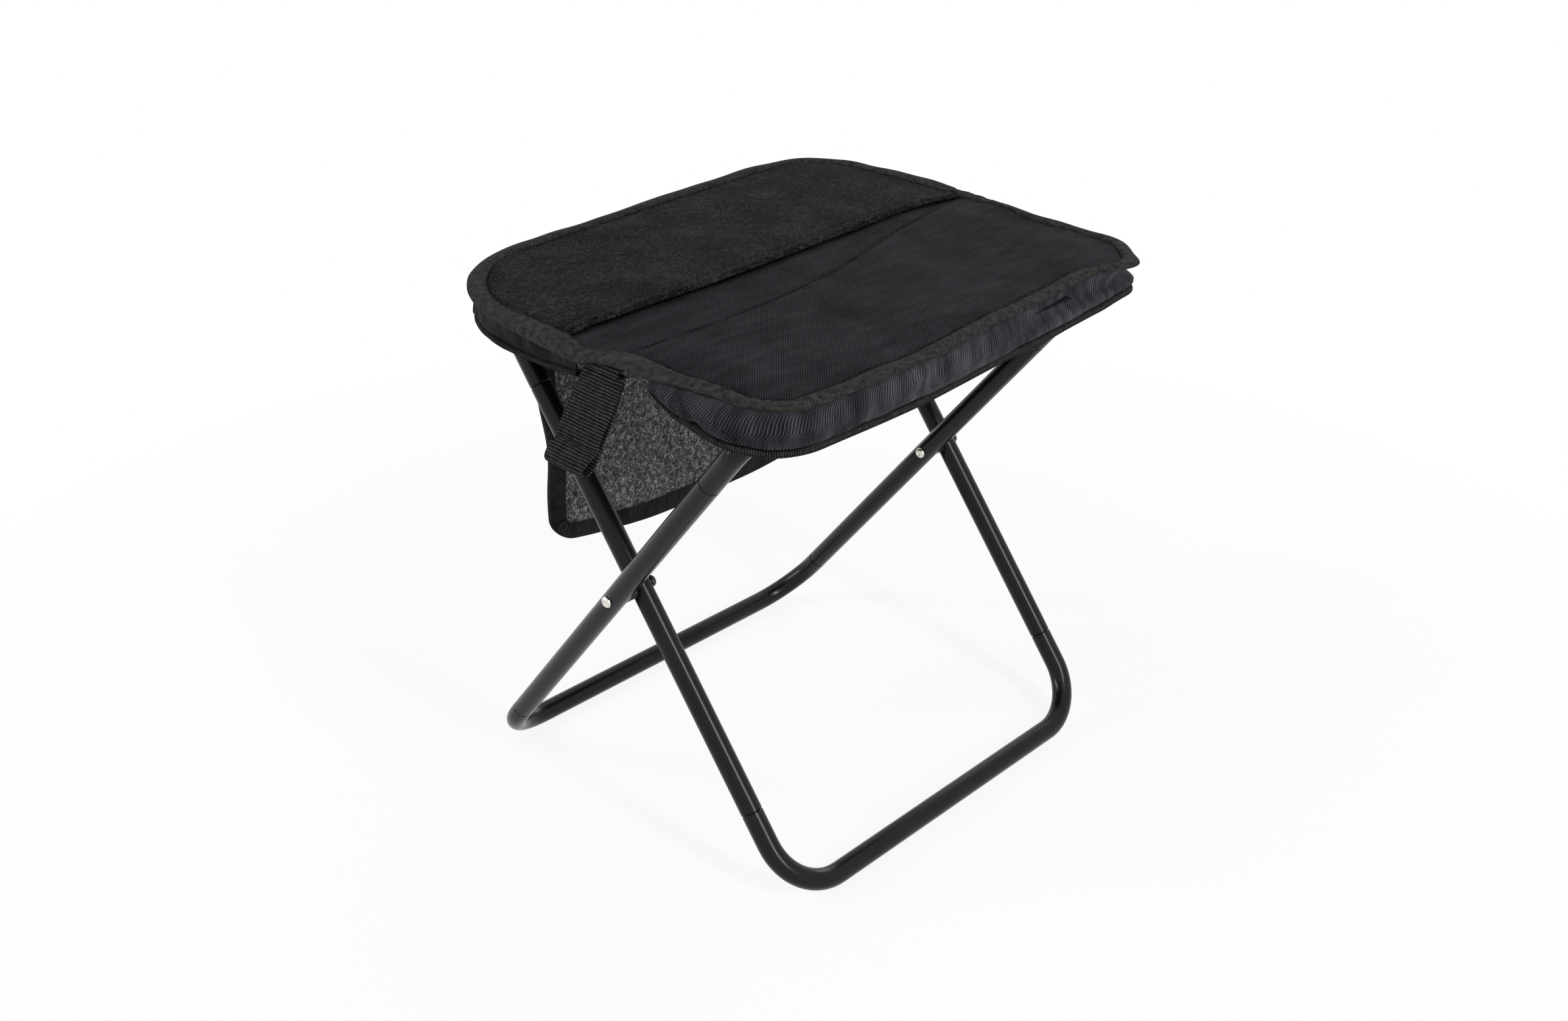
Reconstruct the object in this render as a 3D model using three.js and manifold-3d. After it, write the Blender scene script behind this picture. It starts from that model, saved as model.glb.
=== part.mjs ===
// Folding stool: two crossed tube frames under a seat that is sewn in two padded halves.
// Millimetres, +Z up. The origin is on the floor under the middle of the open stool.
// X runs across the fold and Y runs along the pivot. Frame A leans to the right at its top.

import * as THREE from 'three';
import { mergeVertices } from 'three/addons/utils/BufferGeometryUtils.js';
import Module from 'manifold-3d';

const wasm = await Module();
wasm.setup();

const radians = THREE.MathUtils.degToRad;

// Clearances
const gap = 0.3;
const runningGap = 0.4;
const overrun = 2;
const mergeTolerance = 0.0001;

// Tube frames
const tubeRadius = 8;
const tubeWall = 1.2;
const tubeSides = 16;
const legAngle = radians(38.75);
const pivotHeight = 201.3;
const barInset = 36.4;
const frameInset = 44.8;
const frameStagger = 22.8;
const bendRadius = 44;
const bendSteps = 6;
const topBendReach = 74.7;
const footBendReachA = 52.85;
const footBendReachB = 69.85;
const jointLine = 0.4;
const spigotLength = 22;
const spigotWall = 1;
const spigotShoulder = 3;

// Pivot hardware
const boltRadius = 2.5;
const boltHeadRadius = 4.2;
const boltHeadHeight = 2.2;
const boltDomeShares = [[0, 0.4], [0.35, 0.2], [0.4, 0], [0.7, 0.12], [1, 0.6]];
const boltTail = 2.6;
const boltSides = 20;
const capRadius = 4.4;
const capWall = 1.3;
const capRound = 1.5;
const spacerRadius = 6.5;
const saddleLength = 32;

// Seat outline
const seatHalfWidth = 183;
const seatHalfLength = 212.5;
const nearLeftStart = 78;
const farLeftRadius = 60;
const nearRightRadius = 50;
const farRightRadius = 70;
const cornerSteps = 7;

// Rim band round the top of each half
const rimWidth = 14;
const rimHeight = 12;
const rimRound = 3;
const rimClearance = 3.2;

// Board, pad and the flexible strips along the crease
const boardThickness = 4;
const boardStart = 34.8;
const padThickness = 7.45;
const padProud = 1;
const padSlope = 12;
const padEdgeDrop = 2.8;
const padFlatInset = 11;
const padEdgeShares = [[0, 1], [0.1, 0.5], [0.35, 0.15], [1, 0]];
const creaseNearX = -5;
const creaseFarX = -27;
const stripThickness = 8;
const stripDip = 16;
const stripLap = 8.4;

// Side wall and the binding on its lower edge
const wallInset = 6.5;
const wallThickness = 2;
const wallDrop = 26.1;
const bindingHeight = 5;
const bindingProud = 1.5;
const bindingWidth = 4.6;
const edgeRuns = 5;
const shortRise = 4.5;
const shortRiseEnd = 60;
const wallEndHeight = 0.6;
const handleRiseReach = 78;
const handleRiseInset = 13;

// Sleeve that holds each half to its top bar
const sleeveEndGap = 7.3;
const sleeveWall = 1.6;
const sleeveFlange = 18;
const sleeveSteps = 14;

// Webbing handle
const handleWidth = 40;
const handleCentre = 40;
const handleLength = 62;
const webbing = 2;
const handleBend = 6.5;
const handleSewn = 14;
const handleLean = radians(32);
const handleInset = 3;
const handleSteps = 8;
const anchorLength = 17;
const anchorThickness = 3.5;

// Hanging flap
const flapFromBar = 23.6;
const flapLength = 210.3;
const flapSideGap = 6.3;
const flapTaper = 16;
const flapShoulder = 28;
const flapCorner = 22;
const flapThickness = 1.4;
const flapBeadRadius = 1.6;
const flapBeadSides = 16;
const liningThickness = 0.8;
const liningDrop = 8;
const flapBindingWidth = 15;
const flapBindingWall = 1;
const flapBindingDrop = 4;
const tapeThickness = 2.4;
const tapeHeight = 11.75;
const tapeOverhang = 4;

// Places that follow from the sizes above
const barX = seatHalfWidth - barInset;
const upperLength = barX / Math.sin(legAngle);
const barHeight = pivotHeight + upperLength * Math.cos(legAngle);
const lowerLength = (pivotHeight - tubeRadius) / Math.cos(legAngle);
const topJoint = upperLength - topBendReach;
const frameWidth = 2 * (seatHalfLength - frameInset);
const boreRadius = tubeRadius - tubeWall;
const boardBottom = barHeight + tubeRadius + gap;
const boardTop = boardBottom + boardThickness;
const padBottom = boardTop + gap;
const padTop = padBottom + padThickness;
const seatTop = padTop - padProud;
const nearLeftRadius = seatHalfWidth - nearLeftStart;
const rimStart = boardStart + stripLap + rimClearance;
const rimBottom = seatTop - rimHeight;
const wallTop = rimBottom - gap;
const wallBottom = seatTop - wallDrop;
const bindingTop = wallBottom - gap;
const handleRise = wallTop - wallBottom - wallEndHeight;
const sleeveLength = frameWidth - frameStagger - 2 * (bendRadius + sleeveEndGap);
const flapX = barX - flapFromBar;
const tapeBottom = boardBottom - gap - tapeHeight;
const flapTop = tapeBottom - gap - flapBeadRadius;
const flapBottom = flapTop - flapLength;
const flapHalfWidth = (frameWidth - frameStagger) / 2 - tubeRadius - flapSideGap;
const flapTopHalfWidth = flapHalfWidth - flapTaper;
const frames = {
  a: {
    lean: 1,
    nearY: -(frameWidth + frameStagger) / 2,
    farY: (frameWidth - frameStagger) / 2,
    footJoint: lowerLength - footBendReachA,
  },
  b: {
    lean: -1,
    nearY: -(frameWidth - frameStagger) / 2,
    farY: (frameWidth + frameStagger) / 2,
    footJoint: lowerLength - footBendReachB,
  },
};

// Materials
function finish(color, roughness, metalness = 0) {
  return new THREE.MeshStandardMaterial({ color, roughness, metalness });
}

const blackPaint = finish(0x17181b, 0.42, 0.3);
const brightSteel = finish(0xc9c6bd, 0.3, 1);
const blackPlastic = finish(0x101012, 0.5);
const boardPlastic = finish(0x202226, 0.7);
const creasedFabric = finish(0x1b1b1b, 0.9);
const smoothFabric = finish(0x14161b, 0.8);
const bandFabric = finish(0x1c1c1c, 0.9);
const webbingFabric = finish(0x18181a, 0.85);
const greyLining = finish(0x55555a, 0.9);

// A route through chosen points that turns every corner as a mitre.
class Route extends THREE.Curve {
  constructor(points, binormal) {
    super();
    const last = points.length - 1;
    const heading = (i) => points[i + 1].clone().sub(points[i]).normalize();
    this.points = points;
    this.binormals = points.map(() => binormal);
    this.tangents = points.map((point, i) => {
      const before = heading(Math.max(i - 1, 0));
      const after = heading(Math.min(i, last - 1));
      const middle = before.clone().add(after).normalize();
      return middle.divideScalar(middle.dot(after));
    });
    this.normals = this.tangents.map((tangent) => binormal.clone().cross(tangent));
  }

  getSpacedPoints() {
    return this.points;
  }

  computeFrenetFrames() {
    return { tangents: this.tangents, normals: this.normals, binormals: this.binormals };
  }
}

function extrudeAlong(shape, route) {
  const steps = route.points.length - 1;
  const curveSegments = tubeSides / 2;
  return new THREE.ExtrudeGeometry(shape, { extrudePath: route, steps, curveSegments });
}

function polygon(points) {
  return new THREE.Shape(points.map(([x, y]) => new THREE.Vector2(x, y)));
}

function arcPoints(cx, cy, radius, from, to, steps) {
  return Array.from({ length: steps + 1 }, (_, i) => {
    const angle = from + ((to - from) * i) / steps;
    return [cx + radius * Math.cos(angle), cy + radius * Math.sin(angle)];
  });
}

// Joining and cutting
function toSolid(geometry) {
  const bare = geometry.clone();
  bare.deleteAttribute('normal');
  bare.deleteAttribute('uv');
  const merged = mergeVertices(bare, mergeTolerance);
  return new wasm.Manifold(new wasm.Mesh({
    numProp: 3,
    vertProperties: merged.attributes.position.array,
    triVerts: new Uint32Array(merged.index.array),
  }));
}

function toGeometry(solid) {
  const mesh = solid.getMesh();
  const geometry = new THREE.BufferGeometry();
  geometry.setAttribute('position', new THREE.BufferAttribute(mesh.vertProperties, mesh.numProp));
  geometry.setIndex(new THREE.BufferAttribute(mesh.triVerts, 1));
  geometry.computeVertexNormals();
  return geometry;
}

function join(first, ...others) {
  return toGeometry(others.reduce((solid, next) => solid.add(toSolid(next)), toSolid(first)));
}

function cut(first, ...others) {
  return toGeometry(others.reduce((solid, next) => solid.subtract(toSolid(next)), toSolid(first)));
}

function piece(parent, name, geometry, material) {
  const mesh = new THREE.Mesh(geometry, material);
  mesh.name = name;
  parent.add(mesh);
  return mesh;
}

// A ring profile turned about its axis, then laid along a direction from a point.
function turnedAlong(profile, sides, origin, direction) {
  const geometry = new THREE.LatheGeometry(profile.map(([r, h]) => new THREE.Vector2(r, h)), sides);
  const turn = new THREE.Quaternion().setFromUnitVectors(new THREE.Vector3(0, 1, 0), direction);
  return geometry.applyQuaternion(turn).translate(origin.x, origin.y, origin.z);
}

function ringProfile(inner, outer, low, high) {
  return [[inner, low], [outer, low], [outer, high], [inner, high], [inner, low]];
}

function rod(radius, length, sides, centre, direction) {
  const half = length / 2;
  return turnedAlong([[0, -half], [radius, -half], [radius, half], [0, half]], sides, centre, direction);
}

// Tube frames
function frameDirection(frame) {
  return new THREE.Vector3(frame.lean * Math.sin(legAngle), 0, Math.cos(legAngle));
}

function pivotPoint(y) {
  return new THREE.Vector3(0, y, pivotHeight);
}

function leg(frame, y) {
  const low = -frame.footJoint + jointLine / 2;
  const high = topJoint - jointLine / 2;
  const profile = ringProfile(boreRadius, tubeRadius, low, high);
  const tube = turnedAlong(profile, tubeSides, pivotPoint(y), frameDirection(frame));
  const holeRadius = boltRadius + gap;
  const across = new THREE.Vector3(0, 1, 0);
  const hole = rod(holeRadius, 2 * (tubeRadius + overrun), boltSides, pivotPoint(y), across);
  return cut(tube, hole);
}

// Centreline of a U bend from the near leg's joint round the bar to the far leg's joint.
function bendRoute(frame, side, joint, barDistance) {
  const along = frameDirection(frame).multiplyScalar(side);
  const across = new THREE.Vector3(0, 1, 0);
  const arcStart = barDistance - bendRadius;
  const place = ([y, distance]) => pivotPoint(y).addScaledVector(along, distance);
  const nearArc = arcPoints(frame.nearY + bendRadius, arcStart, bendRadius, Math.PI, Math.PI / 2, bendSteps);
  const farArc = arcPoints(frame.farY - bendRadius, arcStart, bendRadius, Math.PI / 2, 0, bendSteps);
  const plan = [[frame.nearY, joint], ...nearArc, ...farArc, [frame.farY, joint]];
  return new Route(plan.map(place), along.clone().cross(across));
}

function spigot(frame, side, joint, y) {
  const outer = boreRadius - gap;
  const inner = outer - spigotWall;
  const collar = tubeRadius - tubeWall / 2;
  const profile = [
    [inner, -spigotLength],
    [outer, -spigotLength],
    [outer, tubeWall],
    [collar, tubeWall],
    [collar, spigotShoulder],
    [inner, spigotShoulder],
    [inner, -spigotLength],
  ];
  const along = frameDirection(frame).multiplyScalar(side);
  const start = pivotPoint(y).addScaledVector(along, joint);
  return turnedAlong(profile, tubeSides, start, along);
}

function bend(frame, side, jointDistance, barDistance) {
  const joint = jointDistance + jointLine / 2;
  const section = new THREE.Shape().absarc(0, 0, tubeRadius, 0, 2 * Math.PI);
  section.holes.push(new THREE.Path().absarc(0, 0, boreRadius, 0, 2 * Math.PI));
  const tube = extrudeAlong(section, bendRoute(frame, side, joint, barDistance));
  const nearSpigot = spigot(frame, side, joint, frame.nearY);
  const farSpigot = spigot(frame, side, joint, frame.farY);
  return join(tube, nearSpigot, farSpigot);
}

function tubeFrame(parent, name) {
  const frame = frames[name];
  piece(parent, `${name}_near_leg`, leg(frame, frame.nearY), blackPaint);
  piece(parent, `${name}_far_leg`, leg(frame, frame.farY), blackPaint);
  piece(parent, `${name}_foot_bend`, bend(frame, -1, frame.footJoint, lowerLength), blackPaint);
  piece(parent, `${name}_top_bend`, bend(frame, 1, topJoint, upperLength), blackPaint);
}

// Pivot bolts, spacers and cap nuts, all along +Y from frame A's leg into frame B's leg
function bolt(y) {
  const face = -tubeRadius - gap;
  const top = face - boltHeadHeight;
  const tail = frameStagger + tubeRadius + gap + boltTail;
  const dome = boltDomeShares.map(([r, h]) => [boltHeadRadius * r, top + boltHeadHeight * h]);
  const profile = [
    ...dome,
    [boltHeadRadius, face],
    [boltRadius, face],
    [boltRadius, tail],
    [0, tail],
  ];
  return turnedAlong(profile, boltSides, pivotPoint(y), new THREE.Vector3(0, 1, 0));
}

function capNut(y) {
  const face = frameStagger + tubeRadius + gap;
  const bore = boltRadius + gap;
  const boreEnd = face + boltTail + gap;
  const top = boreEnd + capWall;
  const profile = [
    [bore, face],
    [capRadius, face],
    [capRadius, top - capRound],
    [capRadius - capRound, top],
    [0, top],
    [0, boreEnd],
    [bore, boreEnd],
    [bore, face],
  ];
  return turnedAlong(profile, boltSides, pivotPoint(y), new THREE.Vector3(0, 1, 0));
}

// The spacer is saddled on frame A's tube and flat where frame B's tube turns past it.
function spacer(y) {
  const across = new THREE.Vector3(0, 1, 0);
  const profile = ringProfile(boltRadius + gap, spacerRadius, 0, frameStagger - tubeRadius - gap);
  const ring = turnedAlong(profile, boltSides, pivotPoint(y), across);
  const saddle = rod(tubeRadius + gap, saddleLength, tubeSides, pivotPoint(y), frameDirection(frames.a));
  return cut(ring, saddle);
}

function pivotSet(parent, name, y) {
  piece(parent, `${name}_pivot_bolt`, bolt(y), brightSteel);
  piece(parent, `${name}_pivot_spacer`, spacer(y), blackPlastic);
  piece(parent, `${name}_cap_nut`, capNut(y), blackPlastic);
}

// Seat halves. Each is drawn with u outward from the crease and w along it; its first
// corner is at +w and its last at -w. The right half uses u = X, w = Y. The left half is
// the same drawing turned half a turn about Z.
const rightHalf = {
  name: 'right',
  side: 1,
  creaseDrop: 3,
  firstCorner: farRightRadius,
  lastCorner: nearRightRadius,
  firstEdge: { start: boardStart, rise: shortRise, end: shortRiseEnd },
  lastEdge: {
    start: seatHalfWidth - handleRiseReach,
    rise: handleRise,
    end: seatHalfWidth - handleRiseInset,
  },
  fabric: smoothFabric,
};
const leftHalf = {
  name: 'left',
  side: -1,
  creaseDrop: 0,
  firstCorner: nearLeftRadius,
  lastCorner: farLeftRadius,
  firstEdge: { start: boardStart, rise: shortRise, end: shortRiseEnd },
  lastEdge: { start: boardStart, rise: shortRise, end: shortRiseEnd },
  fabric: creasedFabric,
};

// Points clockwise from the first edge's inner end round to the last edge's inner end.
function edgePoints(half, inset, firstStart, lastStart, runs) {
  const u1 = seatHalfWidth - inset;
  const w1 = seatHalfLength - inset;
  const r1 = half.firstCorner - inset;
  const r2 = half.lastCorner - inset;
  const points = [];
  for (let i = 0; i < runs; i += 1) {
    points.push([firstStart + ((u1 - r1 - firstStart) * i) / runs, w1]);
  }
  points.push(...arcPoints(u1 - r1, w1 - r1, r1, Math.PI / 2, 0, cornerSteps));
  points.push(...arcPoints(u1 - r2, r2 - w1, r2, 0, -Math.PI / 2, cornerSteps));
  for (let i = 1; i <= runs; i += 1) {
    points.push([u1 - r2 + ((lastStart - u1 + r2) * i) / runs, -w1]);
  }
  return points;
}

function edgeRoute(half, firstStart, lastStart, runs) {
  const points = edgePoints(half, 0, firstStart, lastStart, runs);
  const place = ([u, w]) => new THREE.Vector3(u, w, 0);
  return new Route(points.map(place), new THREE.Vector3(0, 0, 1));
}

function rimBand(half) {
  const section = polygon([
    [-rimWidth, rimBottom],
    [-rimRound, rimBottom],
    [0, rimBottom + rimRound],
    [0, seatTop - rimRound],
    [-rimRound, seatTop],
    [-rimWidth, seatTop],
  ]);
  return extrudeAlong(section, edgeRoute(half, rimStart, rimStart, 1));
}

// How far the wall's lower edge rises near the inner end of each short side.
function riseAt(half, u, w) {
  const edge = w > 0 ? half.firstEdge : half.lastEdge;
  const share = (edge.end - u) / (edge.end - edge.start);
  return edge.rise * THREE.MathUtils.clamp(share, 0, 1);
}

function lift(geometry, half, below) {
  const position = geometry.getAttribute('position');
  for (let i = 0; i < position.count; i += 1) {
    const z = position.getZ(i);
    if (z < below) {
      position.setZ(i, z + riseAt(half, position.getX(i), position.getY(i)));
    }
  }
  return geometry;
}

function sideWall(half) {
  const section = polygon([
    [-wallInset - wallThickness, wallBottom],
    [-wallInset, wallBottom],
    [-wallInset, wallTop],
    [-wallInset - wallThickness, wallTop],
  ]);
  const route = edgeRoute(half, half.firstEdge.start, half.lastEdge.start, edgeRuns);
  return lift(extrudeAlong(section, route), half, (wallTop + wallBottom) / 2);
}

function edgeBinding(half) {
  const outer = -wallInset + bindingProud;
  const section = polygon([
    [outer - bindingWidth, bindingTop - bindingHeight],
    [outer, bindingTop - bindingHeight],
    [outer, bindingTop],
    [outer - bindingWidth, bindingTop],
  ]);
  const route = edgeRoute(half, half.firstEdge.start, half.lastEdge.start, edgeRuns);
  return lift(extrudeAlong(section, route), half, wallBottom);
}

// The plan of a board or of a ring of the pad, inside the rim.
function insidePlan(half, inset, start) {
  return edgePoints(half, rimWidth + gap + inset, start, start, 1);
}

function board(half) {
  const shape = polygon(insidePlan(half, 0, boardStart));
  const geometry = new THREE.ExtrudeGeometry(shape, { depth: boardThickness, bevelEnabled: false });
  return geometry.translate(0, 0, boardBottom);
}

// A closed solid from matching clockwise rings, bottom ring first.
function ringSolid(rings) {
  const count = rings[0].length;
  const indices = [];
  for (let r = 0; r < rings.length - 1; r += 1) {
    for (let i = 0; i < count; i += 1) {
      const a = r * count + i;
      const b = r * count + ((i + 1) % count);
      indices.push(a, a + count, b, b, a + count, b + count);
    }
  }
  const capOf = (ring) => {
    const outline = ring.map(([x, y]) => new THREE.Vector2(x, y));
    return THREE.ShapeUtils.triangulateShape(outline, []);
  };
  const top = (rings.length - 1) * count;
  for (const [a, b, c] of capOf(rings[0])) {
    indices.push(a, c, b);
  }
  for (const [a, b, c] of capOf(rings[rings.length - 1])) {
    indices.push(top + a, top + b, top + c);
  }
  const geometry = new THREE.BufferGeometry();
  geometry.setAttribute('position', new THREE.Float32BufferAttribute(rings.flat(2), 3));
  geometry.setIndex(indices);
  geometry.computeVertexNormals();
  return geometry;
}

// The pad has a low crown: its edges round over and its crease side slopes away.
function pad(half) {
  const ring = (inset, z) => {
    const slope = (padSlope * (z - padBottom)) / (padTop - padBottom);
    return insidePlan(half, inset, boardStart + slope + inset).map(([u, w]) => [u, w, z]);
  };
  const crown = padEdgeShares.map(([inset, drop]) => ring(padFlatInset * inset, padTop - padEdgeDrop * drop));
  return ringSolid([ring(0, padBottom), ...crown]);
}

// The crease runs a little askew across the seat. This is its u at a given w.
function creaseAt(half, w) {
  const share = (half.side * w + seatHalfLength) / (2 * seatHalfLength);
  return half.side * THREE.MathUtils.lerp(creaseNearX, creaseFarX, share);
}

// The strip from the crease to the board, which laps over the pad's sloping side.
function creaseStrip(half) {
  const slope = (padTop - padBottom) / padSlope;
  const bottom = seatTop - stripThickness - gap;
  const top = seatTop - gap;
  const outer = boardStart - runningGap;
  const section = polygon([
    [gap / 2, bottom],
    [outer, bottom],
    [outer, padBottom + gap],
    [outer + stripLap, padBottom + gap + stripLap * slope],
    [outer + stripLap, top],
    [stripDip, top],
    [gap / 2, top - half.creaseDrop],
  ]);
  const length = 2 * (seatHalfLength - gap);
  const geometry = new THREE.ExtrudeGeometry(section, { depth: length, bevelEnabled: false });
  geometry.rotateX(Math.PI / 2).translate(0, length / 2, 0);
  const position = geometry.getAttribute('position');
  for (let i = 0; i < position.count; i += 1) {
    const u = position.getX(i);
    const sideShare = Math.max((outer - u) / outer, 0);
    position.setX(i, u + sideShare * creaseAt(half, position.getY(i)));
  }
  return geometry;
}

// An open sleeve under the board, wrapped round the top bar and sewn down by two flanges.
function barSleeve() {
  const inner = tubeRadius + runningGap;
  const outer = inner + sleeveWall;
  const top = tubeRadius;
  const flange = top - sleeveWall;
  const innerAngle = Math.asin(top / inner);
  const outerAngle = Math.asin(flange / outer);
  const outside = arcPoints(0, 0, outer, Math.PI - outerAngle, 2 * Math.PI + outerAngle, sleeveSteps);
  const inside = arcPoints(0, 0, inner, 2 * Math.PI + innerAngle, Math.PI - innerAngle, sleeveSteps);
  const section = polygon([
    [-sleeveFlange, top],
    [-sleeveFlange, flange],
    ...outside,
    [sleeveFlange, flange],
    [sleeveFlange, top],
    ...inside,
  ]);
  const geometry = new THREE.ExtrudeGeometry(section, { depth: sleeveLength, bevelEnabled: false });
  return geometry.rotateX(Math.PI / 2).translate(barX, sleeveLength / 2, barHeight);
}

function seatHalf(parent, half) {
  const group = new THREE.Group();
  group.rotation.z = half.side > 0 ? 0 : Math.PI;
  parent.add(group);
  piece(group, `seat_board_${half.name}`, board(half), boardPlastic);
  piece(group, `seat_pad_${half.name}`, pad(half), half.fabric);
  piece(group, `rim_band_${half.name}`, rimBand(half), bandFabric);
  piece(group, `side_wall_${half.name}`, sideWall(half), smoothFabric);
  piece(group, `edge_binding_${half.name}`, edgeBinding(half), bandFabric);
  piece(group, `bar_sleeve_${half.name}`, barSleeve(), smoothFabric);
  piece(group, `crease_strip_${half.name}`, creaseStrip(half), half.fabric);
}

// Webbing handle: a flat loop, sewn together near its top, with a round end.
function handleLoop() {
  const centre = handleLength - handleBend;
  const shape = new THREE.Shape();
  const outline = [
    ...arcPoints(0, 0, webbing, 0, Math.PI, handleSteps),
    ...arcPoints(0, -centre, handleBend, Math.PI, 2 * Math.PI, handleSteps),
  ];
  shape.setFromPoints(outline.map(([x, y]) => new THREE.Vector2(x, y)));
  const inside = [
    [0, -handleSewn],
    ...arcPoints(0, -centre, handleBend - webbing, Math.PI, 2 * Math.PI, handleSteps),
  ];
  shape.holes.push(new THREE.Path(inside.map(([x, y]) => new THREE.Vector2(x, y))));
  const geometry = new THREE.ExtrudeGeometry(shape, { depth: handleWidth, bevelEnabled: false });
  return geometry.rotateX(Math.PI / 2).rotateZ(Math.PI / 2);
}

function handle(parent) {
  const pinY = -seatHalfLength + handleInset;
  const pinZ = rimBottom - webbing - gap;
  const loop = piece(parent, 'handle_loop', handleLoop(), webbingFabric);
  loop.position.set(handleCentre - handleWidth / 2, pinY, pinZ);
  loop.rotation.x = -handleLean;
  const anchor = new THREE.BoxGeometry(handleWidth, anchorLength, anchorThickness);
  const anchorY = pinY + webbing + gap + anchorLength / 2;
  anchor.translate(handleCentre, anchorY, rimBottom - gap - anchorThickness / 2);
  piece(parent, 'handle_anchor', anchor, webbingFabric);
}

// Hanging flap, drawn as [y, z] down the near side, along the bottom and up the far side.
function flapPath(inset, topZ) {
  const side = flapHalfWidth - inset;
  const topSide = flapTopHalfWidth - inset;
  const bottom = flapBottom + inset;
  const corner = flapCorner - inset;
  const far = [
    ...arcPoints(side - corner, bottom + corner, corner, -Math.PI / 2, 0, cornerSteps),
    [side, flapTop - flapShoulder],
    [topSide + ((side - topSide) * (flapTop - topZ)) / flapShoulder, topZ],
  ];
  const near = far.map(([y, z]) => [-y, z]).reverse();
  return [...near, ...far];
}

function flapLayer(inset, topZ, thickness, x) {
  const shape = polygon(flapPath(inset, topZ));
  const geometry = new THREE.ExtrudeGeometry(shape, { depth: thickness, bevelEnabled: false });
  return geometry.rotateX(Math.PI / 2).rotateZ(Math.PI / 2).translate(x, 0, 0);
}

// The panel ends in a round bead along the line where it is sewn to the seat.
function flapPanel() {
  const inset = flapBindingWall + gap + gap;
  const panel = flapLayer(inset, flapTop, flapThickness, -flapX - flapThickness / 2);
  const middle = new THREE.Vector3(-flapX, 0, flapTop);
  const length = 2 * (flapTopHalfWidth - inset);
  return join(panel, rod(flapBeadRadius, length, flapBeadSides, middle, new THREE.Vector3(0, 1, 0)));
}

function flapLining() {
  const inset = flapBindingWall + gap + gap;
  return flapLayer(inset, flapTop - liningDrop, liningThickness, -flapX + flapThickness / 2 + gap);
}

// A folded tape that wraps the edges of the panel and its lining.
function flapBinding() {
  const outside = flapThickness / 2 + gap;
  const inside = -flapThickness / 2 - gap - liningThickness - gap;
  const section = polygon([
    [-flapBindingWidth, outside + flapBindingWall],
    [0, outside + flapBindingWall],
    [0, inside - flapBindingWall],
    [-flapBindingWidth, inside - flapBindingWall],
    [-flapBindingWidth, inside],
    [-flapBindingWall, inside],
    [-flapBindingWall, outside],
    [-flapBindingWidth, outside],
  ]);
  const path = flapPath(0, flapTop - flapBindingDrop);
  const points = path.map(([y, z]) => new THREE.Vector3(-flapX, y, z));
  return extrudeAlong(section, new Route(points, new THREE.Vector3(-1, 0, 0)));
}

function flap(parent) {
  piece(parent, 'flap_panel', flapPanel(), smoothFabric);
  piece(parent, 'flap_lining', flapLining(), greyLining);
  piece(parent, 'flap_binding', flapBinding(), smoothFabric);
  const length = 2 * (flapTopHalfWidth + tapeOverhang);
  const tape = new THREE.BoxGeometry(tapeThickness, length, tapeHeight);
  tape.translate(-flapX, 0, tapeBottom + tapeHeight / 2);
  piece(parent, 'flap_seam_tape', tape, smoothFabric);
}

const stool = new THREE.Group();
tubeFrame(stool, 'a');
tubeFrame(stool, 'b');
pivotSet(stool, 'near', frames.a.nearY);
pivotSet(stool, 'far', frames.a.farY);
seatHalf(stool, rightHalf);
seatHalf(stool, leftHalf);
handle(stool);
flap(stool);

// The origin lies under the middle of the whole stool, its handle included.
const bounds = new THREE.Box3().setFromObject(stool, true);
stool.position.y = -(bounds.min.y + bounds.max.y) / 2;

const part = new THREE.Group();
part.add(stool);

export default part;
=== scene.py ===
"""Looks of the folding stool: smooth tubes, sewn seat halves, webbing handle and hanging flap.

Metres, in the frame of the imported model. X runs across the fold and Y along the pivot.
Shapes are drawn in the stool's own plan, where y = 0 is the middle of the seat, and
ORIGIN_Y moves them into the frame. Tables of places are written in millimetres.
"""

import math

import bmesh
import bpy
import numpy as np
from mathutils import Matrix, Vector, noise


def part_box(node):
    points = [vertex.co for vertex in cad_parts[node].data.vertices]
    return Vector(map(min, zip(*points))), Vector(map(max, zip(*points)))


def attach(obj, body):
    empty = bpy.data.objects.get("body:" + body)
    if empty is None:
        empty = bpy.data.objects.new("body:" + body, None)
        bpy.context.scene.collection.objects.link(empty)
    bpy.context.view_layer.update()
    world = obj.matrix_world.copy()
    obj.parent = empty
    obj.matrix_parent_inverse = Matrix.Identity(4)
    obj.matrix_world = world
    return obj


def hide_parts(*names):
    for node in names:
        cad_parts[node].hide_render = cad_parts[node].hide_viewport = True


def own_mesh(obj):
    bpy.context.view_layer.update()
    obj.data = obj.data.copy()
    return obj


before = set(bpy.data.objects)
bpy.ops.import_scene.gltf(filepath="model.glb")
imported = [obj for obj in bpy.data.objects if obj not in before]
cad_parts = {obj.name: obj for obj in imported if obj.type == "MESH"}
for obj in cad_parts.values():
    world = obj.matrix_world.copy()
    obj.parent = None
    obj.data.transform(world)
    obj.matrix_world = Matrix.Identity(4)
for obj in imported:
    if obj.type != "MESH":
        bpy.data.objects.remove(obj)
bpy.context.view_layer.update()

# Tube frames
TUBE_RADIUS = 0.008
TUBE_WALL = 0.0012
TUBE_SIDES = 48
LEG_ANGLE = math.radians(38.75)
PIVOT_HEIGHT = 0.2013
UPPER_LENGTH = 0.2342
FRAME_WIDTH = 0.3354
FRAME_STAGGER = 0.0228
BEND_RADIUS = 0.044
TOP_JOINT = 0.1595
FOOT_JOINTS = {"a": 0.195, "b": 0.178}
JOINT_LINE = 0.0004
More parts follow.
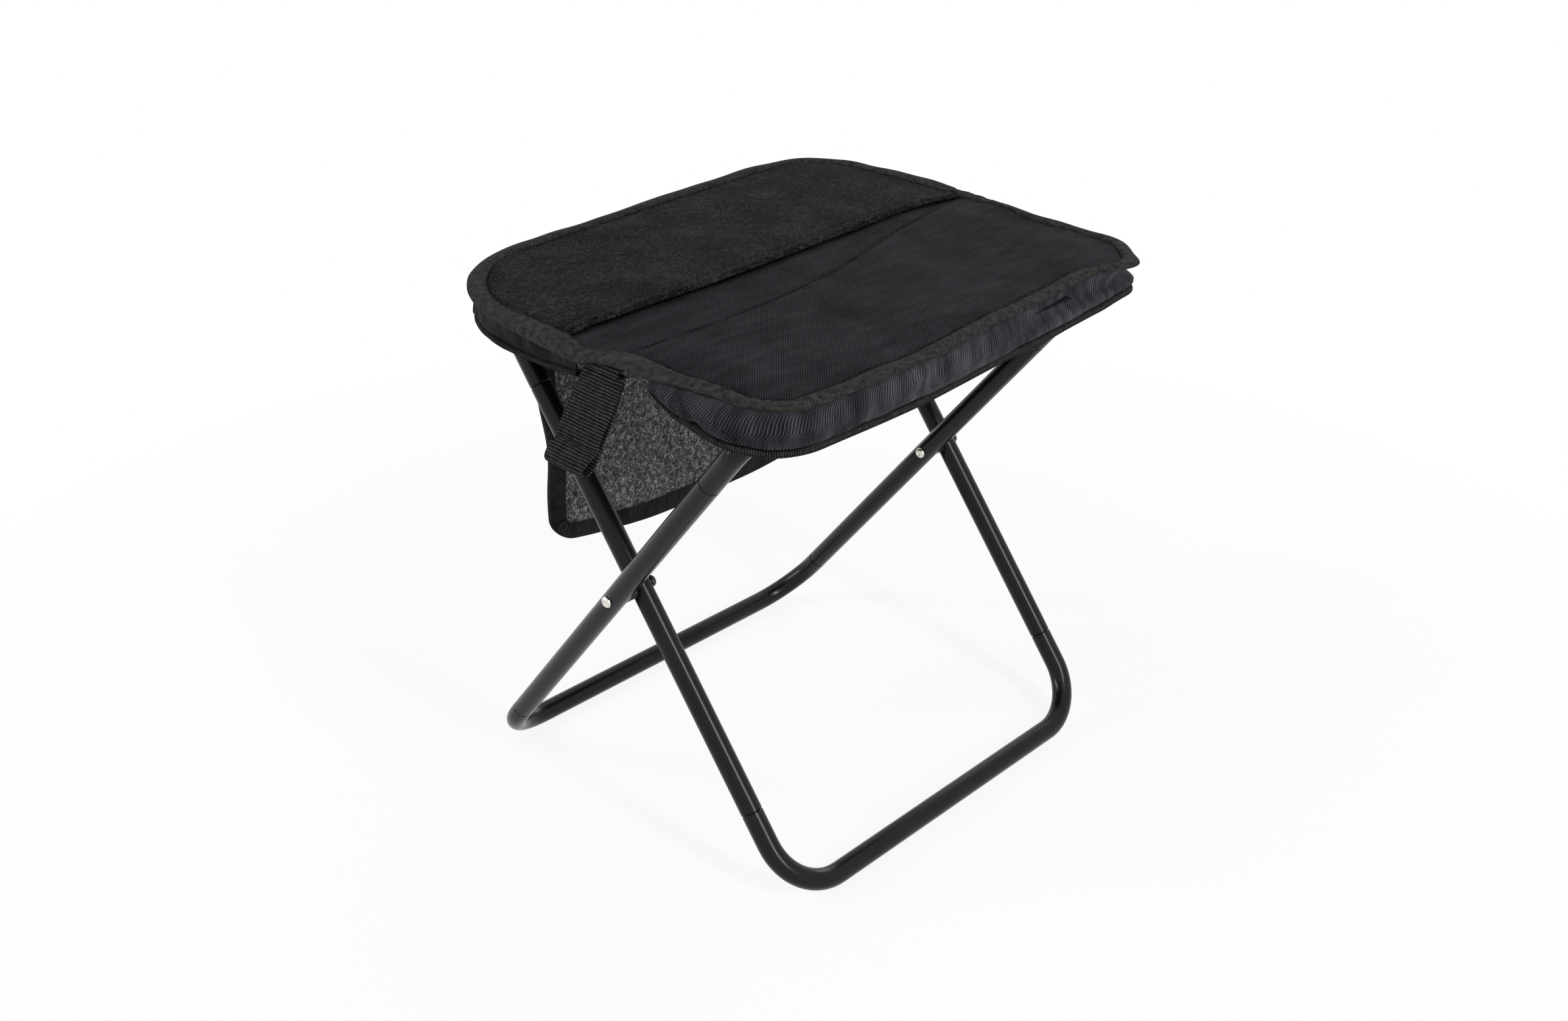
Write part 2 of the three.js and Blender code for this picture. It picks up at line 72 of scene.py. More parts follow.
EDGE_ROUND = 0.0005
SPIGOT_RADIUS = 0.0065
SPIGOT_LENGTH = 0.022

# Pivot hardware
BOLT_RADIUS = 0.0025
BOLT_HEAD_RADIUS = 0.0042
BOLT_HEAD_HEIGHT = 0.0022
CAP_RADIUS = 0.0044
CAP_LENGTH = 0.0042

# Space left between parts, points that count as one, and the thickness of a sharp step
GAP = 0.0003
WELD = 0.00001
SLIVER = 0.000001

# Seat outline and levels
HALF_WIDTH = 0.183
HALF_LENGTH = 0.2125
CORNER_RADII = {"left": (0.105, 0.060), "right": (0.070, 0.050)}
SEAT_TOP = 0.403
PAD_LEVEL = 0.4026
PAD_BOTTOM = 0.3945
STRIP_LEVEL = 0.3990
BINDING_BOTTOM = 0.3716
BOARD_BOTTOM = 0.39225
COVER_INSET = 0.0125
BASE_INSET = 0.0135
PAD_FILL = 0.35
SLEEVE_FLANGE = 0.018
CREASE_X = (-0.005, -0.027)

# Handle
HANDLE_WIDTH = 0.040
HANDLE_CENTRE = 0.040
HANDLE_LEAN = math.radians(32)
HANDLE_PIN = (-0.2095, 0.3887)
WEBBING = 0.002

# Flap
FLAP_X = 0.123
FLAP_TOP = 0.3783
FLAP_BOTTOM = 0.168
FLAP_HALF_WIDTH = 0.142
FLAP_TOP_HALF_WIDTH = 0.126
FLAP_SHOULDER = 0.028
FLAP_CORNER = 0.022
FLAP_THICKNESS = 0.0014
LINING_THICKNESS = 0.0008
FLAP_BINDING = 0.015
FLAP_BINDING_WALL = 0.001

# Places that follow from the sizes above
BAR_X = UPPER_LENGTH * math.sin(LEG_ANGLE)
BAR_HEIGHT = PIVOT_HEIGHT + UPPER_LENGTH * math.cos(LEG_ANGLE)
LOWER_LENGTH = (PIVOT_HEIGHT - TUBE_RADIUS) / math.cos(LEG_ANGLE)
FRAME_Y = {
    "a": (-(FRAME_WIDTH + FRAME_STAGGER) / 2, (FRAME_WIDTH - FRAME_STAGGER) / 2),
    "b": (-(FRAME_WIDTH - FRAME_STAGGER) / 2, (FRAME_WIDTH + FRAME_STAGGER) / 2),
}
LEAN = {"a": 1, "b": -1}
ORIGIN_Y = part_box("rim_band_left")[1].y - HALF_LENGTH
ACROSS = np.array((0.0, 1.0, 0.0))


# Numbers


def mm(rows):
    """A table that is written in millimetres, in metres."""
    return np.array(rows, float) / 1000


def read(table, place, column=1):
    """A table's value at a place along its first column."""
    return np.interp(place, table[:, 0], table[:, column])


def smooth_step(value, low, high):
    """0 below low, 1 above high, and a smooth rise between them."""
    t = np.clip((value - low) / (high - low), 0, 1)
    return t * t * (3 - 2 * t)


def bell(distance, width):
    """1 at no distance, and a smooth fall to 0 on both sides."""
    return np.exp(-((distance / width) ** 2))


def mix(a, b, share):
    """Between a, at share 0, and b, at share 1."""
    return np.array(a, float) * (1 - share) + np.array(b, float) * share


def ripple(x, y, scale, seed, z=0):
    """Smooth noise from -1 to 1 at points of a surface. Scale is the size of its waves."""
    flat = np.stack(np.broadcast_arrays(x, y, z), axis=-1).reshape(-1, 3) / scale
    values = [noise.noise(Vector(p) + Vector((seed, seed * 0.37, seed * 0.71))) for p in flat]
    return np.array(values).reshape(np.broadcast(x, y, z).shape)


def full_turn(count):
    """Angles, evenly spaced round a full turn."""
    return np.linspace(0, 2 * math.pi, count, endpoint=False)


# Meshes


def add_mesh(name, points, faces, material, uv=None, smooth=True):
    """A mesh from points in the stool's plan, with one uv in metres for each point."""
    mesh = bpy.data.meshes.new(name)
    moved = np.array(points, float) + (0, ORIGIN_Y, 0)
    mesh.from_pydata(moved.tolist(), [], faces)
    if uv is not None:
        layer = mesh.uv_layers.new(name="metres")
        corners = np.zeros(len(mesh.loops), int)
        mesh.loops.foreach_get("vertex_index", corners)
        layer.data.foreach_set("uv", np.array(uv, float)[corners].ravel())
    mesh.polygons.foreach_set("use_smooth", [smooth] * len(mesh.polygons))
    mesh.materials.append(material)
    obj = bpy.data.objects.new(name, mesh)
    bpy.context.scene.collection.objects.link(obj)
    return obj


def finish_mesh(obj, weld=0.0):
    """Faces turned outward, and points closer than weld joined."""
    work = bmesh.new()
    work.from_mesh(obj.data)
    if weld:
        bmesh.ops.remove_doubles(work, verts=work.verts, dist=weld)
    bmesh.ops.recalc_face_normals(work, faces=work.faces)
    work.to_mesh(obj.data)
    work.free()
    return obj


def grid_faces(index):
    """The faces between neighbours in a grid of point numbers."""
    corners = (index[:-1, :-1], index[:-1, 1:], index[1:, 1:], index[1:, :-1])
    return np.stack(corners, axis=-1).reshape(-1, 4)


def ring_mesh(name, rings, material, capped=True):
    """A skin over closed rings of points. Its uv runs along the rings and round them."""
    rings = np.array(rings, float)
    count, size = rings.shape[:2]
    index = np.arange(count * size).reshape(count, size)
    faces = grid_faces(np.column_stack((index, index[:, 0]))).tolist()
    if capped:
        faces += [index[0, ::-1].tolist(), index[-1].tolist()]
    lengths = []
    for line in (rings.mean(axis=1), rings[0]):
        steps = np.linalg.norm(np.diff(line, axis=0), axis=1)
        lengths.append(np.concatenate(([0], np.cumsum(steps))))
    uv = np.stack(np.meshgrid(*lengths, indexing="ij"), axis=-1).reshape(-1, 2)
    return finish_mesh(add_mesh(name, rings.reshape(-1, 3), faces, material, uv))


def layer_mesh(name, front, back, plan, material):
    """A closed piece between two surfaces over the same grid. Its uv is the grid's flat plan."""
    rows, columns = front.shape[:2]
    count = rows * columns
    index = np.arange(count).reshape(rows, columns)
    quads = grid_faces(index)
    edge = np.concatenate((index[0], index[1:, -1], index[-1, -2::-1], index[-2:0:-1, 0]))
    after = np.roll(edge, -1)
    sides = np.stack((edge, edge + count, after + count, after), axis=-1)
    faces = np.vstack((quads, quads[:, [0, 3, 2, 1]] + count, sides)).tolist()
    points = np.vstack((front.reshape(-1, 3), back.reshape(-1, 3)))
    uv = np.tile(plan.reshape(-1, 2), (2, 1))
    return finish_mesh(add_mesh(name, points, faces, material, uv))


def mitred_normals(points, binormal):
    """Directions square to a path and to its binormal, lengthened at its corners."""
    steps = np.diff(points, axis=0)
    steps /= np.linalg.norm(steps, axis=1)[:, None]
    before = np.vstack((steps[:1], steps))
    after = np.vstack((steps, steps[-1:]))
    middle = before + after
    middle /= np.linalg.norm(middle, axis=1)[:, None]
    share = np.sum(middle * after, axis=1)[:, None]
    return np.cross(binormal, middle / share)


def sweep(path, binormal, section):
    """Rings of a section, given as (outward, along the binormal) pairs, along a path."""
    path = np.array(path, float)
    binormal = np.array(binormal, float)
    normals = mitred_normals(path, binormal)
    section = np.array(section, float)
    return [p + section[:, :1] * n + section[:, 1:] * binormal for p, n in zip(path, normals)]


def arc(centre, radius, start, end, steps):
    """Points along an arc, angles in degrees."""
    turns = np.radians(np.linspace(start, end, steps + 1))
    return [(centre[0] + radius * math.cos(t), centre[1] + radius * math.sin(t)) for t in turns]


def lathe(name, profile, origin, axis, material, sides=40):
    """A closed (radius, height) profile turned about an axis."""
    axis = np.array(axis, float)
    side = np.cross(axis, (1.0, 0.0, 0.0) if abs(axis[0]) < 0.9 else (0.0, 0.0, 1.0))
    side /= np.linalg.norm(side)
    other = np.cross(axis, side)
    rings = []
    for t in full_turn(sides):
        out = side * math.cos(t) + other * math.sin(t)
        rings.append([np.array(origin) + out * r + axis * h for r, h in profile])
    rings.append(rings[0])
    return finish_mesh(ring_mesh(name, rings, material, capped=False), WELD)


def dress(obj, body, slot, *nodes, sharp=None):
    """The piece rides on a body and stands for CAD nodes, which it hides.

    Edges that turn by more than sharp degrees stay crisp under smooth shading. The slot argument is not
    used.
    """
    if sharp:
        obj.data.set_sharp_from_angle(angle=math.radians(sharp))
    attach(obj, body)
    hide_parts(*nodes)


# Materials


def add_node(tree, kind, inputs=None, **settings):
    """A node whose inputs are values, or are linked to the outputs of other nodes."""
    made = tree.nodes.new(kind)
    for key, value in settings.items():
        setattr(made, key, value)
    for key, value in (inputs or {}).items():
        if isinstance(value, bpy.types.NodeSocket):
            tree.links.new(value, made.inputs[key])
        else:
            made.inputs[key].default_value = value
    return made


class Shader:
    """Builds one node material, step by step. Sizes are in metres."""

    def __init__(self, name, colour, roughness, metallic=0.0):
        self.material = bpy.data.materials.new(name)
        self.material.use_nodes = True
        self.tree = self.material.node_tree
        self.surface = self.tree.nodes["Principled BSDF"]
        self.surface.inputs["Base Color"].default_value = (*colour, 1)
        self.surface.inputs["Roughness"].default_value = roughness
        self.surface.inputs["Metallic"].default_value = metallic
        self.bump_end = None

    def node(self, kind, inputs=None, **settings):
        return add_node(self.tree, kind, inputs, **settings)

    def place(self, kind, scale=(1, 1, 1), turn=0.0):
        """Coordinates in metres: "UV" along a strip, or "Object" in space."""
        source = self.node("ShaderNodeTexCoord").outputs[kind]
        inputs = {"Vector": source, "Scale": scale, "Rotation": (0, 0, turn)}
        return self.node("ShaderNodeMapping", inputs).outputs["Vector"]

    def noise(self, where, size, detail=2.0, roughness=0.5, distortion=0.0):
        inputs = {"Vector": where, "Scale": 1 / size, "Detail": detail}
        inputs |= {"Roughness": roughness, "Distortion": distortion}
        return self.node("ShaderNodeTexNoise", inputs).outputs["Fac"]

    def ribs(self, where, pitch, direction, distortion, detail_size):
        """Even ribs, a pitch apart, that wander a little."""
        scale = math.pi / (10 * pitch)
        inputs = {"Vector": where, "Scale": scale, "Distortion": distortion}
        inputs |= {"Detail": 1, "Detail Scale": pitch / detail_size}
        made = self.node("ShaderNodeTexWave", inputs, wave_type="BANDS", bands_direction=direction)
        return made.outputs["Fac"]

    def math(self, operation, a, b):
        return self.node("ShaderNodeMath", {0: a, 1: b}, operation=operation).outputs[0]

    def total(self, *parts):
        """The sum of (output, weight) pairs."""
        first, *others = (self.math("MULTIPLY", value, weight) for value, weight in parts)
        for other in others:
            first = self.math("ADD", first, other)
        return first

    def bump(self, height, depth):
        """Height from 0 to 1, and the depth in metres that it stands for."""
        made = self.node("ShaderNodeBump", {"Height": height, "Distance": depth, "Strength": 1.0})
        if self.bump_end is not None:
            self.tree.links.new(self.bump_end, made.inputs["Normal"])
        self.bump_end = made.outputs["Normal"]
        self.tree.links.new(self.bump_end, self.surface.inputs["Normal"])

    def colours(self, factor, stops):
        """Base colour from a ramp of (place, colour) stops."""
        ramp = self.node("ShaderNodeValToRGB", {"Fac": factor})
        elements = ramp.color_ramp.elements
        while len(elements) < len(stops):
            elements.new(0.5)
        for element, (place, colour) in zip(elements, stops):
            element.position = place
            element.color = (*colour, 1)
        self.tree.links.new(ramp.outputs["Color"], self.surface.inputs["Base Color"])

    def roughness(self, factor, low, high):
        made = self.node("ShaderNodeMapRange", {"Value": factor, "To Min": low, "To Max": high})
        self.tree.links.new(made.outputs["Result"], self.surface.inputs["Roughness"])

    def cloth(self, tone, stops):
        """The finished material of a cloth: hardly any gloss and a trace of fuzz."""
        self.colours(tone, stops)
        self.surface.inputs["Specular IOR Level"].default_value = 0.03
        self.surface.inputs["Sheen Weight"].default_value = 0.01
        self.surface.inputs["Sheen Roughness"].default_value = 0.4
        return self.material


def black_paint():
    """Satin powder coat with a faint orange peel."""
    s = Shader("black_paint", (0.006, 0.006, 0.0070), 0.2)
    where = s.place("Object")
    s.bump(s.noise(where, 0.0012, 2), 0.00001)
    s.roughness(s.noise(where, 0.02, 3), 0.20, 0.26)
    stops = [(0.3, (0.004, 0.004, 0.0048)), (0.7, (0.007, 0.007, 0.0083))]
    s.colours(s.noise(where, 0.05, 2), stops)
    s.surface.inputs["Specular IOR Level"].default_value = 0.2
    return s.material


def bright_steel():
    """Bright plated steel with fine turning marks."""
    s = Shader("bright_steel", (0.72, 0.70, 0.64), 0.28, 1.0)
    where = s.place("Object")
    s.bump(s.noise(where, 0.0006, 2), 0.00001)
    s.roughness(s.noise(where, 0.002, 2), 0.2, 0.38)
    return s.material


def black_plastic():
    """Moulded plastic with a fine grain."""
    s = Shader("black_plastic", (0.012, 0.012, 0.013), 0.45)
    where = s.place("Object")
    s.bump(s.noise(where, 0.0005, 2), 0.00002)
    s.roughness(s.noise(where, 0.004, 2), 0.38, 0.55)
    return s.material


def crepe():
    """Near-black fabric with a fine creased grain and bright flecks."""
    s = Shader("creased_fabric", (0.018, 0.0178, 0.0175), 0.85)
    long_way = s.place("Object", (1.0, 0.55, 1.0), math.radians(28))
    where = s.place("Object")
    grain = s.noise(long_way, 0.0022, 4, 0.6, 2.0)
    s.bump(grain, 0.0014)
    s.bump(s.noise(where, 0.007, 2, 0.5, 0.6), 0.0010)
    stops = [
        (0.40, (0.0032, 0.0032, 0.0031)),
        (0.50, (0.0133, 0.0132, 0.0127)),
        (0.61, (0.050, 0.049, 0.047)),
    ]
    return s.cloth(s.total((grain, 0.78), (s.noise(where, 0.040, 3, 0.6), 0.22)), stops)


def oxford(name, stops, turn=0.0, kind="Object", pitch=0.00145, contrast=0.34):
    """Plain weave: fine ribs one way, crossed by fainter ones, with slow changes of tone."""
    s = Shader(name, stops[1], 0.8)
    where = s.place(kind, turn=turn)
    warp = s.ribs(where, pitch, "X", 1.6, 0.006)
    weft = s.ribs(where, pitch * 0.75, "Y", 1.6, 0.006)
    weave = s.total((warp, 0.72), (weft, 0.28))
    s.bump(weave, 0.0006)
    s.bump(s.noise(where, 0.003, 3), 0.0006)
    cloud = s.noise(s.place("Object"), 0.050, 4, 0.6)
    streaks = s.noise(s.place(kind, (1.0, 0.3, 1.0), turn), 0.009, 3, 0.6)
    middle = 0.34 + contrast / 2
    places = (middle - 0.16, middle, middle + 0.16)
    tone = s.total((cloud, 0.34), (streaks, 0.34), (weave, contrast))
    return s.cloth(tone, list(zip(places, stops)))


def band(name, pitch, turn, depth, stops, wander=2.0, mottle=0.4):
    """Binding tape: ribs across the strip, broken by a fine grain."""
    s = Shader(name, stops[1], 0.85)
    where = s.place("UV", turn=turn)
    ribs = s.ribs(where, pitch, "X", wander, 0.004)
    grain = s.noise(where, 0.0018, 3, 0.6, 1.5)
    s.bump(ribs, depth)
    s.bump(grain, 0.0007)
    s.bump(s.noise(where, 0.006, 3), 0.0020)
    low = 0.14 + mottle / 2
    places = (low, low + 0.24, low + 0.44)
    tone = s.total((ribs, 0.4), (grain, 0.35), (s.noise(where, 0.005, 3), mottle))
    return s.cloth(tone, list(zip(places, stops)))


def felt():
    """Grey felt lining with short bright fibres."""
    s = Shader("grey_lining", (0.06, 0.058, 0.062), 0.9)
    fibres = s.noise(s.place("Object", (1, 1.25, 0.6)), 0.0018, 4, 0.72, 3.0)
    flecks = s.noise(s.place("Object"), 0.0028, 2, 0.4, 1.0)
    s.bump(fibres, 0.0012)
    stops = [
        (0.39, (0.011, 0.0108, 0.0115)),
        (0.48, (0.058, 0.056, 0.060)),
        (0.55, (0.185, 0.181, 0.19)),
        (0.62, (0.66, 0.65, 0.67)),
    ]
    return s.cloth(s.total((fibres, 0.68), (flecks, 0.32)), stops)


def lighter(stops, share):
    """The same colours, a share lighter or darker."""
    return [tuple(share * value for value in colour) for colour in stops]


# Dark, middle and light tone of the cloths
BLUE = [(0.0045, 0.0052, 0.0066), (0.0126, 0.0136, 0.0160), (0.041, 0.043, 0.048)]
GREYS = [(0.0045, 0.0045, 0.0043), (0.0195, 0.0192, 0.0185), (0.062, 0.061, 0.058)]
# The right wall's tones: the top cloth's tones made lighter, as painted light for the light that falls on
# the side walls.
SLATE_WITH_PAINTED_LIGHT = [(0.0060, 0.0066, 0.0083), (0.0285, 0.0299, 0.0350), (0.115, 0.118, 0.132)]

PAINT = black_paint()
STEEL = bright_steel()
PLASTIC = black_plastic()
CREPE = crepe()
FELT = felt()
TOP_CLOTH = oxford("smooth_fabric", BLUE, math.radians(-45))
WALL_CLOTH = {
    # The left wall: the grey tones made a little darker, as painted shade under the band.
    "left": oxford("wall_fabric_left_painted_shade", lighter(GREYS, 0.92), math.radians(30), "UV", 0.00095),
    # The right wall: painted light, lighter than the top cloth for the light on the side walls.
    "right": oxford("wall_fabric_right_painted_light", SLATE_WITH_PAINTED_LIGHT, math.radians(49), "UV", 0.0014, 0.26),
}
RIM_TAPE = band("rim_tape", 0.0012, math.radians(32), 0.0004, lighter(GREYS, 1.55), 5.0, 0.6)
EDGE_TAPE = band("edge_tape", 0.0015, 0.0, 0.0006, lighter(GREYS, 1.15))
WEB_TAPE = band("webbing", 0.0021, 0.0, 0.0011, lighter(GREYS, 1.2))
FLAP_TAPE = oxford("flap_tape", lighter(GREYS, 0.8), kind="UV")


# Tube frames

ENDS = ("near", "far")


def frame_point(name, distance, y):
    """A point on a leg's line, a distance up from the pivot."""
    x = LEAN[name] * distance * math.sin(LEG_ANGLE)
    return np.array((x, y, PIVOT_HEIGHT + distance * math.cos(LEG_ANGLE)))


def up_leg(name):
    """The direction up a frame's legs."""
    return frame_point(name, 1.0, 0) - frame_point(name, 0.0, 0)


def leg(name, end, y):
    """A plain tube with rounded ends, which takes the place of the CAD's leg."""
    low = -FOOT_JOINTS[name] + JOINT_LINE / 2
    high = TOP_JOINT - JOINT_LINE / 2
    bore = TUBE_RADIUS - TUBE_WALL
    rim = TUBE_RADIUS - EDGE_ROUND
    middle = [(TUBE_RADIUS, low + EDGE_ROUND), (TUBE_RADIUS, high - EDGE_ROUND)]
    profile = [(bore, low), (rim, low), *middle, (rim, high), (bore, high)]
    origin = frame_point(name, 0.0, y)
    obj = lathe(f"{name}_{end}_leg_tube", profile, origin, up_leg(name), PAINT, TUBE_SIDES)
    dress(obj, f"frame_{name}", "black_paint", f"{name}_{end}_leg", sharp=30)


def bend(name, side, joint, bar):
    """A U bend whose two ends step down to the spigots inside the legs."""
    start = joint + JOINT_LINE / 2
    turn = bar - BEND_RADIUS
    near, far = FRAME_Y[name]
    ends = [
        (start - SPIGOT_LENGTH, SPIGOT_RADIUS),
        (start - SLIVER, SPIGOT_RADIUS),
        (start, TUBE_RADIUS - EDGE_ROUND),
        (start + EDGE_ROUND, TUBE_RADIUS),
        (turn - BEND_RADIUS / 20, TUBE_RADIUS),
    ]
    corners = arc((near + BEND_RADIUS, turn), BEND_RADIUS, 180, 90, 16)
    corners += arc((far - BEND_RADIUS, turn), BEND_RADIUS, 90, 0, 16)
    rows = [(near, d, r) for d, r in ends]
    rows += [(y, d, TUBE_RADIUS) for y, d in corners]
    rows += [(far, d, r) for d, r in reversed(ends)]
    path = np.array([frame_point(name, side * d, y) for y, d, r in rows])
    binormal = np.cross(up_leg(name) * side, ACROSS)
    unit = np.array([(math.cos(t), math.sin(t)) for t in full_turn(TUBE_SIDES)])
    rings = [
        p + row[2] * (unit[:, :1] * n + unit[:, 1:] * binormal)
        for p, row, n in zip(path, rows, mitred_normals(path, binormal))
    ]
    part = "top_bend" if side > 0 else "foot_bend"
    obj = ring_mesh(f"{name}_{part}_tube", rings, PAINT)
    dress(obj, f"frame_{name}", "black_paint", f"{name}_{part}", sharp=30)


# Outlines as (share of the radius, share of the height)
BOLT_DOME = (
    (0, 0.42), (0.30, 0.34), (0.36, 0.06), (0.42, 0),
    (0.62, 0.04), (0.82, 0.2), (0.95, 0.48), (1, 0.75),
)
CAP_DOME = ((0, 1), (0.45, 0.97), (0.75, 0.86), (0.93, 0.66), (1, 0.42), (1, 0.08), (0.96, 0))


def hardware(end, y):
    """A domed bolt with a dimple on frame A's side and a cap nut on frame B's side."""
    pivot = (0, y, PIVOT_HEIGHT)
    face = -TUBE_RADIUS - GAP
    tip = face - BOLT_HEAD_HEIGHT
    head = [(BOLT_HEAD_RADIUS * r, tip + BOLT_HEAD_HEIGHT * h) for r, h in BOLT_DOME]
    far_face = FRAME_STAGGER + TUBE_RADIUS + GAP
    tail = far_face + CAP_LENGTH / 2
    shank = [(BOLT_HEAD_RADIUS, face), (BOLT_RADIUS, face), (BOLT_RADIUS, tail), (0, tail)]
    bolt = lathe(f"{end}_bolt", head + shank, pivot, ACROSS, STEEL)
    dress(bolt, "frame_a", "bright_steel", f"{end}_pivot_bolt", sharp=40)
    dome = [(CAP_RADIUS * r, far_face + CAP_LENGTH * h) for r, h in CAP_DOME]
    bore, roof = BOLT_RADIUS + GAP, far_face + CAP_LENGTH - CAP_LENGTH / 3
    inner = [(bore, far_face), (bore, roof), (0, roof)]
    cap = lathe(f"{end}_cap", dome + inner, pivot, ACROSS, PLASTIC)
    dress(cap, "frame_a", "black_plastic", f"{end}_cap_nut", sharp=40)
    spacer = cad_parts[f"{end}_pivot_spacer"]
    spacer.data.materials.clear()
    spacer.data.materials.append(PLASTIC)


def tube_frames():
    for name in ("a", "b"):
        for end, y in zip(ENDS, FRAME_Y[name]):
            leg(name, end, y)
        bend(name, -1, FOOT_JOINTS[name], LOWER_LENGTH)
        bend(name, 1, TOP_JOINT, UPPER_LENGTH)
    for end, y in zip(ENDS, FRAME_Y["a"]):
        hardware(end, y)


# Seat halves. u runs outward from the crease and w along it, as in the CAD's source.

SIDE = {"left": -1, "right": 1}


def seat_piece(obj, half, slot, *nodes, fill=None, sharp=None):
    """A soft piece of a half, which rides on the half's body and gets a mesh of its own."""
    dress(obj, f"seat_{half}", slot, *nodes, sharp=sharp)
    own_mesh(obj)


def plan_to_frame(half, u, w, z):
    """Points of a half's own plan in the stool's plan."""
    return np.stack(np.broadcast_arrays(SIDE[half] * u, SIDE[half] * w, z), axis=-1)


def crease_u(half, w):
    """How far out the crease lies at a given w."""
    share = (SIDE[half] * np.asarray(w) + HALF_LENGTH) / (2 * HALF_LENGTH)
    return SIDE[half] * (CREASE_X[0] + (CREASE_X[1] - CREASE_X[0]) * share)


def outline(half, past=0.0):
    """A half's edge as (u, w), clockwise from its first inner end, or from a little past it."""
    first, last = CORNER_RADII[half]
    u1, w1 = HALF_WIDTH, HALF_LENGTH
    start, end = (crease_u(half, w) + GAP / 2 for w in (w1, -w1))
    points = [(start - d, w1) for d in np.linspace(past, 0, 12, endpoint=False) if past]
    points += [(u, w1) for u in np.linspace(start, u1 - first, 40, endpoint=False)]
    points += arc((u1 - first, w1 - first), first, 90, 0, 24)
    points += [(u1, w) for w in np.linspace(w1 - first, last - w1, 80, endpoint=False)[1:]]
    points += arc((u1 - last, last - w1), last, 0, -90, 24)
    points += [(u, -w1) for u in np.linspace(u1 - last, end, 41)[1:]]
    return np.array(points)


# How far the soft seat has moved from its drawn outline: x, y, then dx, dy, dz, in mm.
SETTLED = (
    (-183, -107, 6, 0, 0), (-183, -42, 2.5, 0, 0), (-183, 22, -1.5, 0, 1),
    (-183, 87, -4.5, 0, 2), (-183, 150, -5.5, 0, 2.5), (-165, 195, -1.5, 1.5, 3),
    (-123, 212, 0, 1.5, 3), (-74, 212, 0, 2.5, 4), (-25, 212, 0, 1, 4),
    (-175, -148, 7, 1.5, 0), (-152, -182, 5.5, 4, -0.5), (-118, -204, 2.5, 5, -1.5),
    (-78, -212, 0, 2, -2), (-40, -212, 0, 1, -2.5), (-5, -212, 0, 0, -2),
    (30, -212, 0, 0, -1), (65, -212, 0, 0, 0), (100, -212, 0, 0, 0),
    (168, -198, 0, 0, 0), (183, -110, 1, 0, 0), (183, -50, 0, 0, 0),
    (183, -10, -4.5, 0, 0), (183, 30, -8.5, 0, 0), (183, 67, -11, 0, 0),
    (183, 100, -13.5, 0, 0), (183, 135, -16, 0, 0), (178, 169, -1, 4, 0),
    (162.5, 192, -1.5, -1.5, 0), (140, 207, 0, 0.5, 0), (113, 212, 0, 0, 0),
    (57, 212, 0, 0, 0.7), (28, 212, 0, 0.5, 2.5),
    (0, -100, 0, 0, 0), (-12, 0, 0, 0, 0), (-20, 100, 0, 0, 1),
    (-90, -100, 2, 0, -0.5), (-90, 0, 0, 0, 0.5), (-90, 100, -2, 0, 1.5),
    (90, -100, 0, 0, 0), (90, 0, -2, 0, 0), (90, 100, -5, 0, 0),
)

# The same for the lower edge of the wall, at the far end of the right side.
SETTLED_LOW = (
    *SETTLED[:20], (183, -50, 0, 0, 0), (183, -10, -3.5, 0, 0), (183, 19, -5.8, 0, 0),
    (183, 43, -7.2, 0, 0), (183, 66, -8.2, 0, 0), (183, 90, -10, 0, 0),
    (183, 115, -12.5, 0, 0), (183, 140, -15, 0, 0), (181, 160, -15.5, 0, 0),
    (174, 177, -10.5, -1, 0), (162.5, 192, -2, -1, 0), *SETTLED[28:],
)


def thin_plate(table):
    """The smoothest field that gives each row's move at its place."""
    rows = mm(table)
    places, moves = rows[:, :2], rows[:, 2:]

    def pull(a):
        square = ((a[:, None] - places[None]) ** 2).sum(axis=-1)
        return square * np.log(square + 1e-12)

    flat = np.column_stack((np.ones(len(places)), places))
    system = np.block([[pull(places), flat], [flat.T, np.zeros((3, 3))]])
    weights = np.linalg.solve(system, np.vstack((moves, np.zeros((3, 3)))))

    def field(x, y):
        at = np.column_stack((x.ravel(), y.ravel()))
        basis = np.hstack((pull(at), np.ones((len(at), 1)), at))
        return (basis @ weights).reshape(*x.shape, 3)

    return field


TOP_FIELD = thin_plate(SETTLED)
LOW_FIELD = thin_plate(SETTLED_LOW)


def settle(points):
    """Moves soft pieces of the seat from their drawn places to how they sit."""
    points = np.array(points, float)
    x, y = points[..., 0], points[..., 1]
    drop = smooth_step(SEAT_TOP - points[..., 2], 0.004, 0.020)[..., None]
    return points + mix(TOP_FIELD(x, y), LOW_FIELD(x, y), drop)


def smooth_section(points, share=3):
    """More points along a closed section, on a smooth curve through the given ones."""
    p = np.array(points, float)[:, None]
    before, after, last = (np.roll(p, shift, axis=0) for shift in (1, -1, -2))
    t = (np.arange(share) / share)[:, None]
    curve = 2 * p + (after - before) * t
    curve = curve + (2 * before - 5 * p + 4 * after - last) * t**2
    curve = curve + (3 * p - before - 3 * after + last) * t**3
    return curve.reshape(-1, 2) / 2


def strip_mesh(name, half, path, section, material):
    """A strip along a half's edge. Its section may change from point to point."""
    points = np.column_stack((path, np.zeros(len(path))))
    normals = mitred_normals(points, np.array((0.0, 0.0, 1.0)))
    rings = []
    for point, normal in zip(points, normals):
        local = section(half, SIDE[half] * point[0], SIDE[half] * point[1])
        ring = point + local[:, :1] * normal
        ring[:, 2] = local[:, 1]
        rings.append(ring)
    u, w, z = np.moveaxis(np.array(rings), -1, 0)
    return ring_mesh(name, settle(plan_to_frame(half, u, w, z)), material)


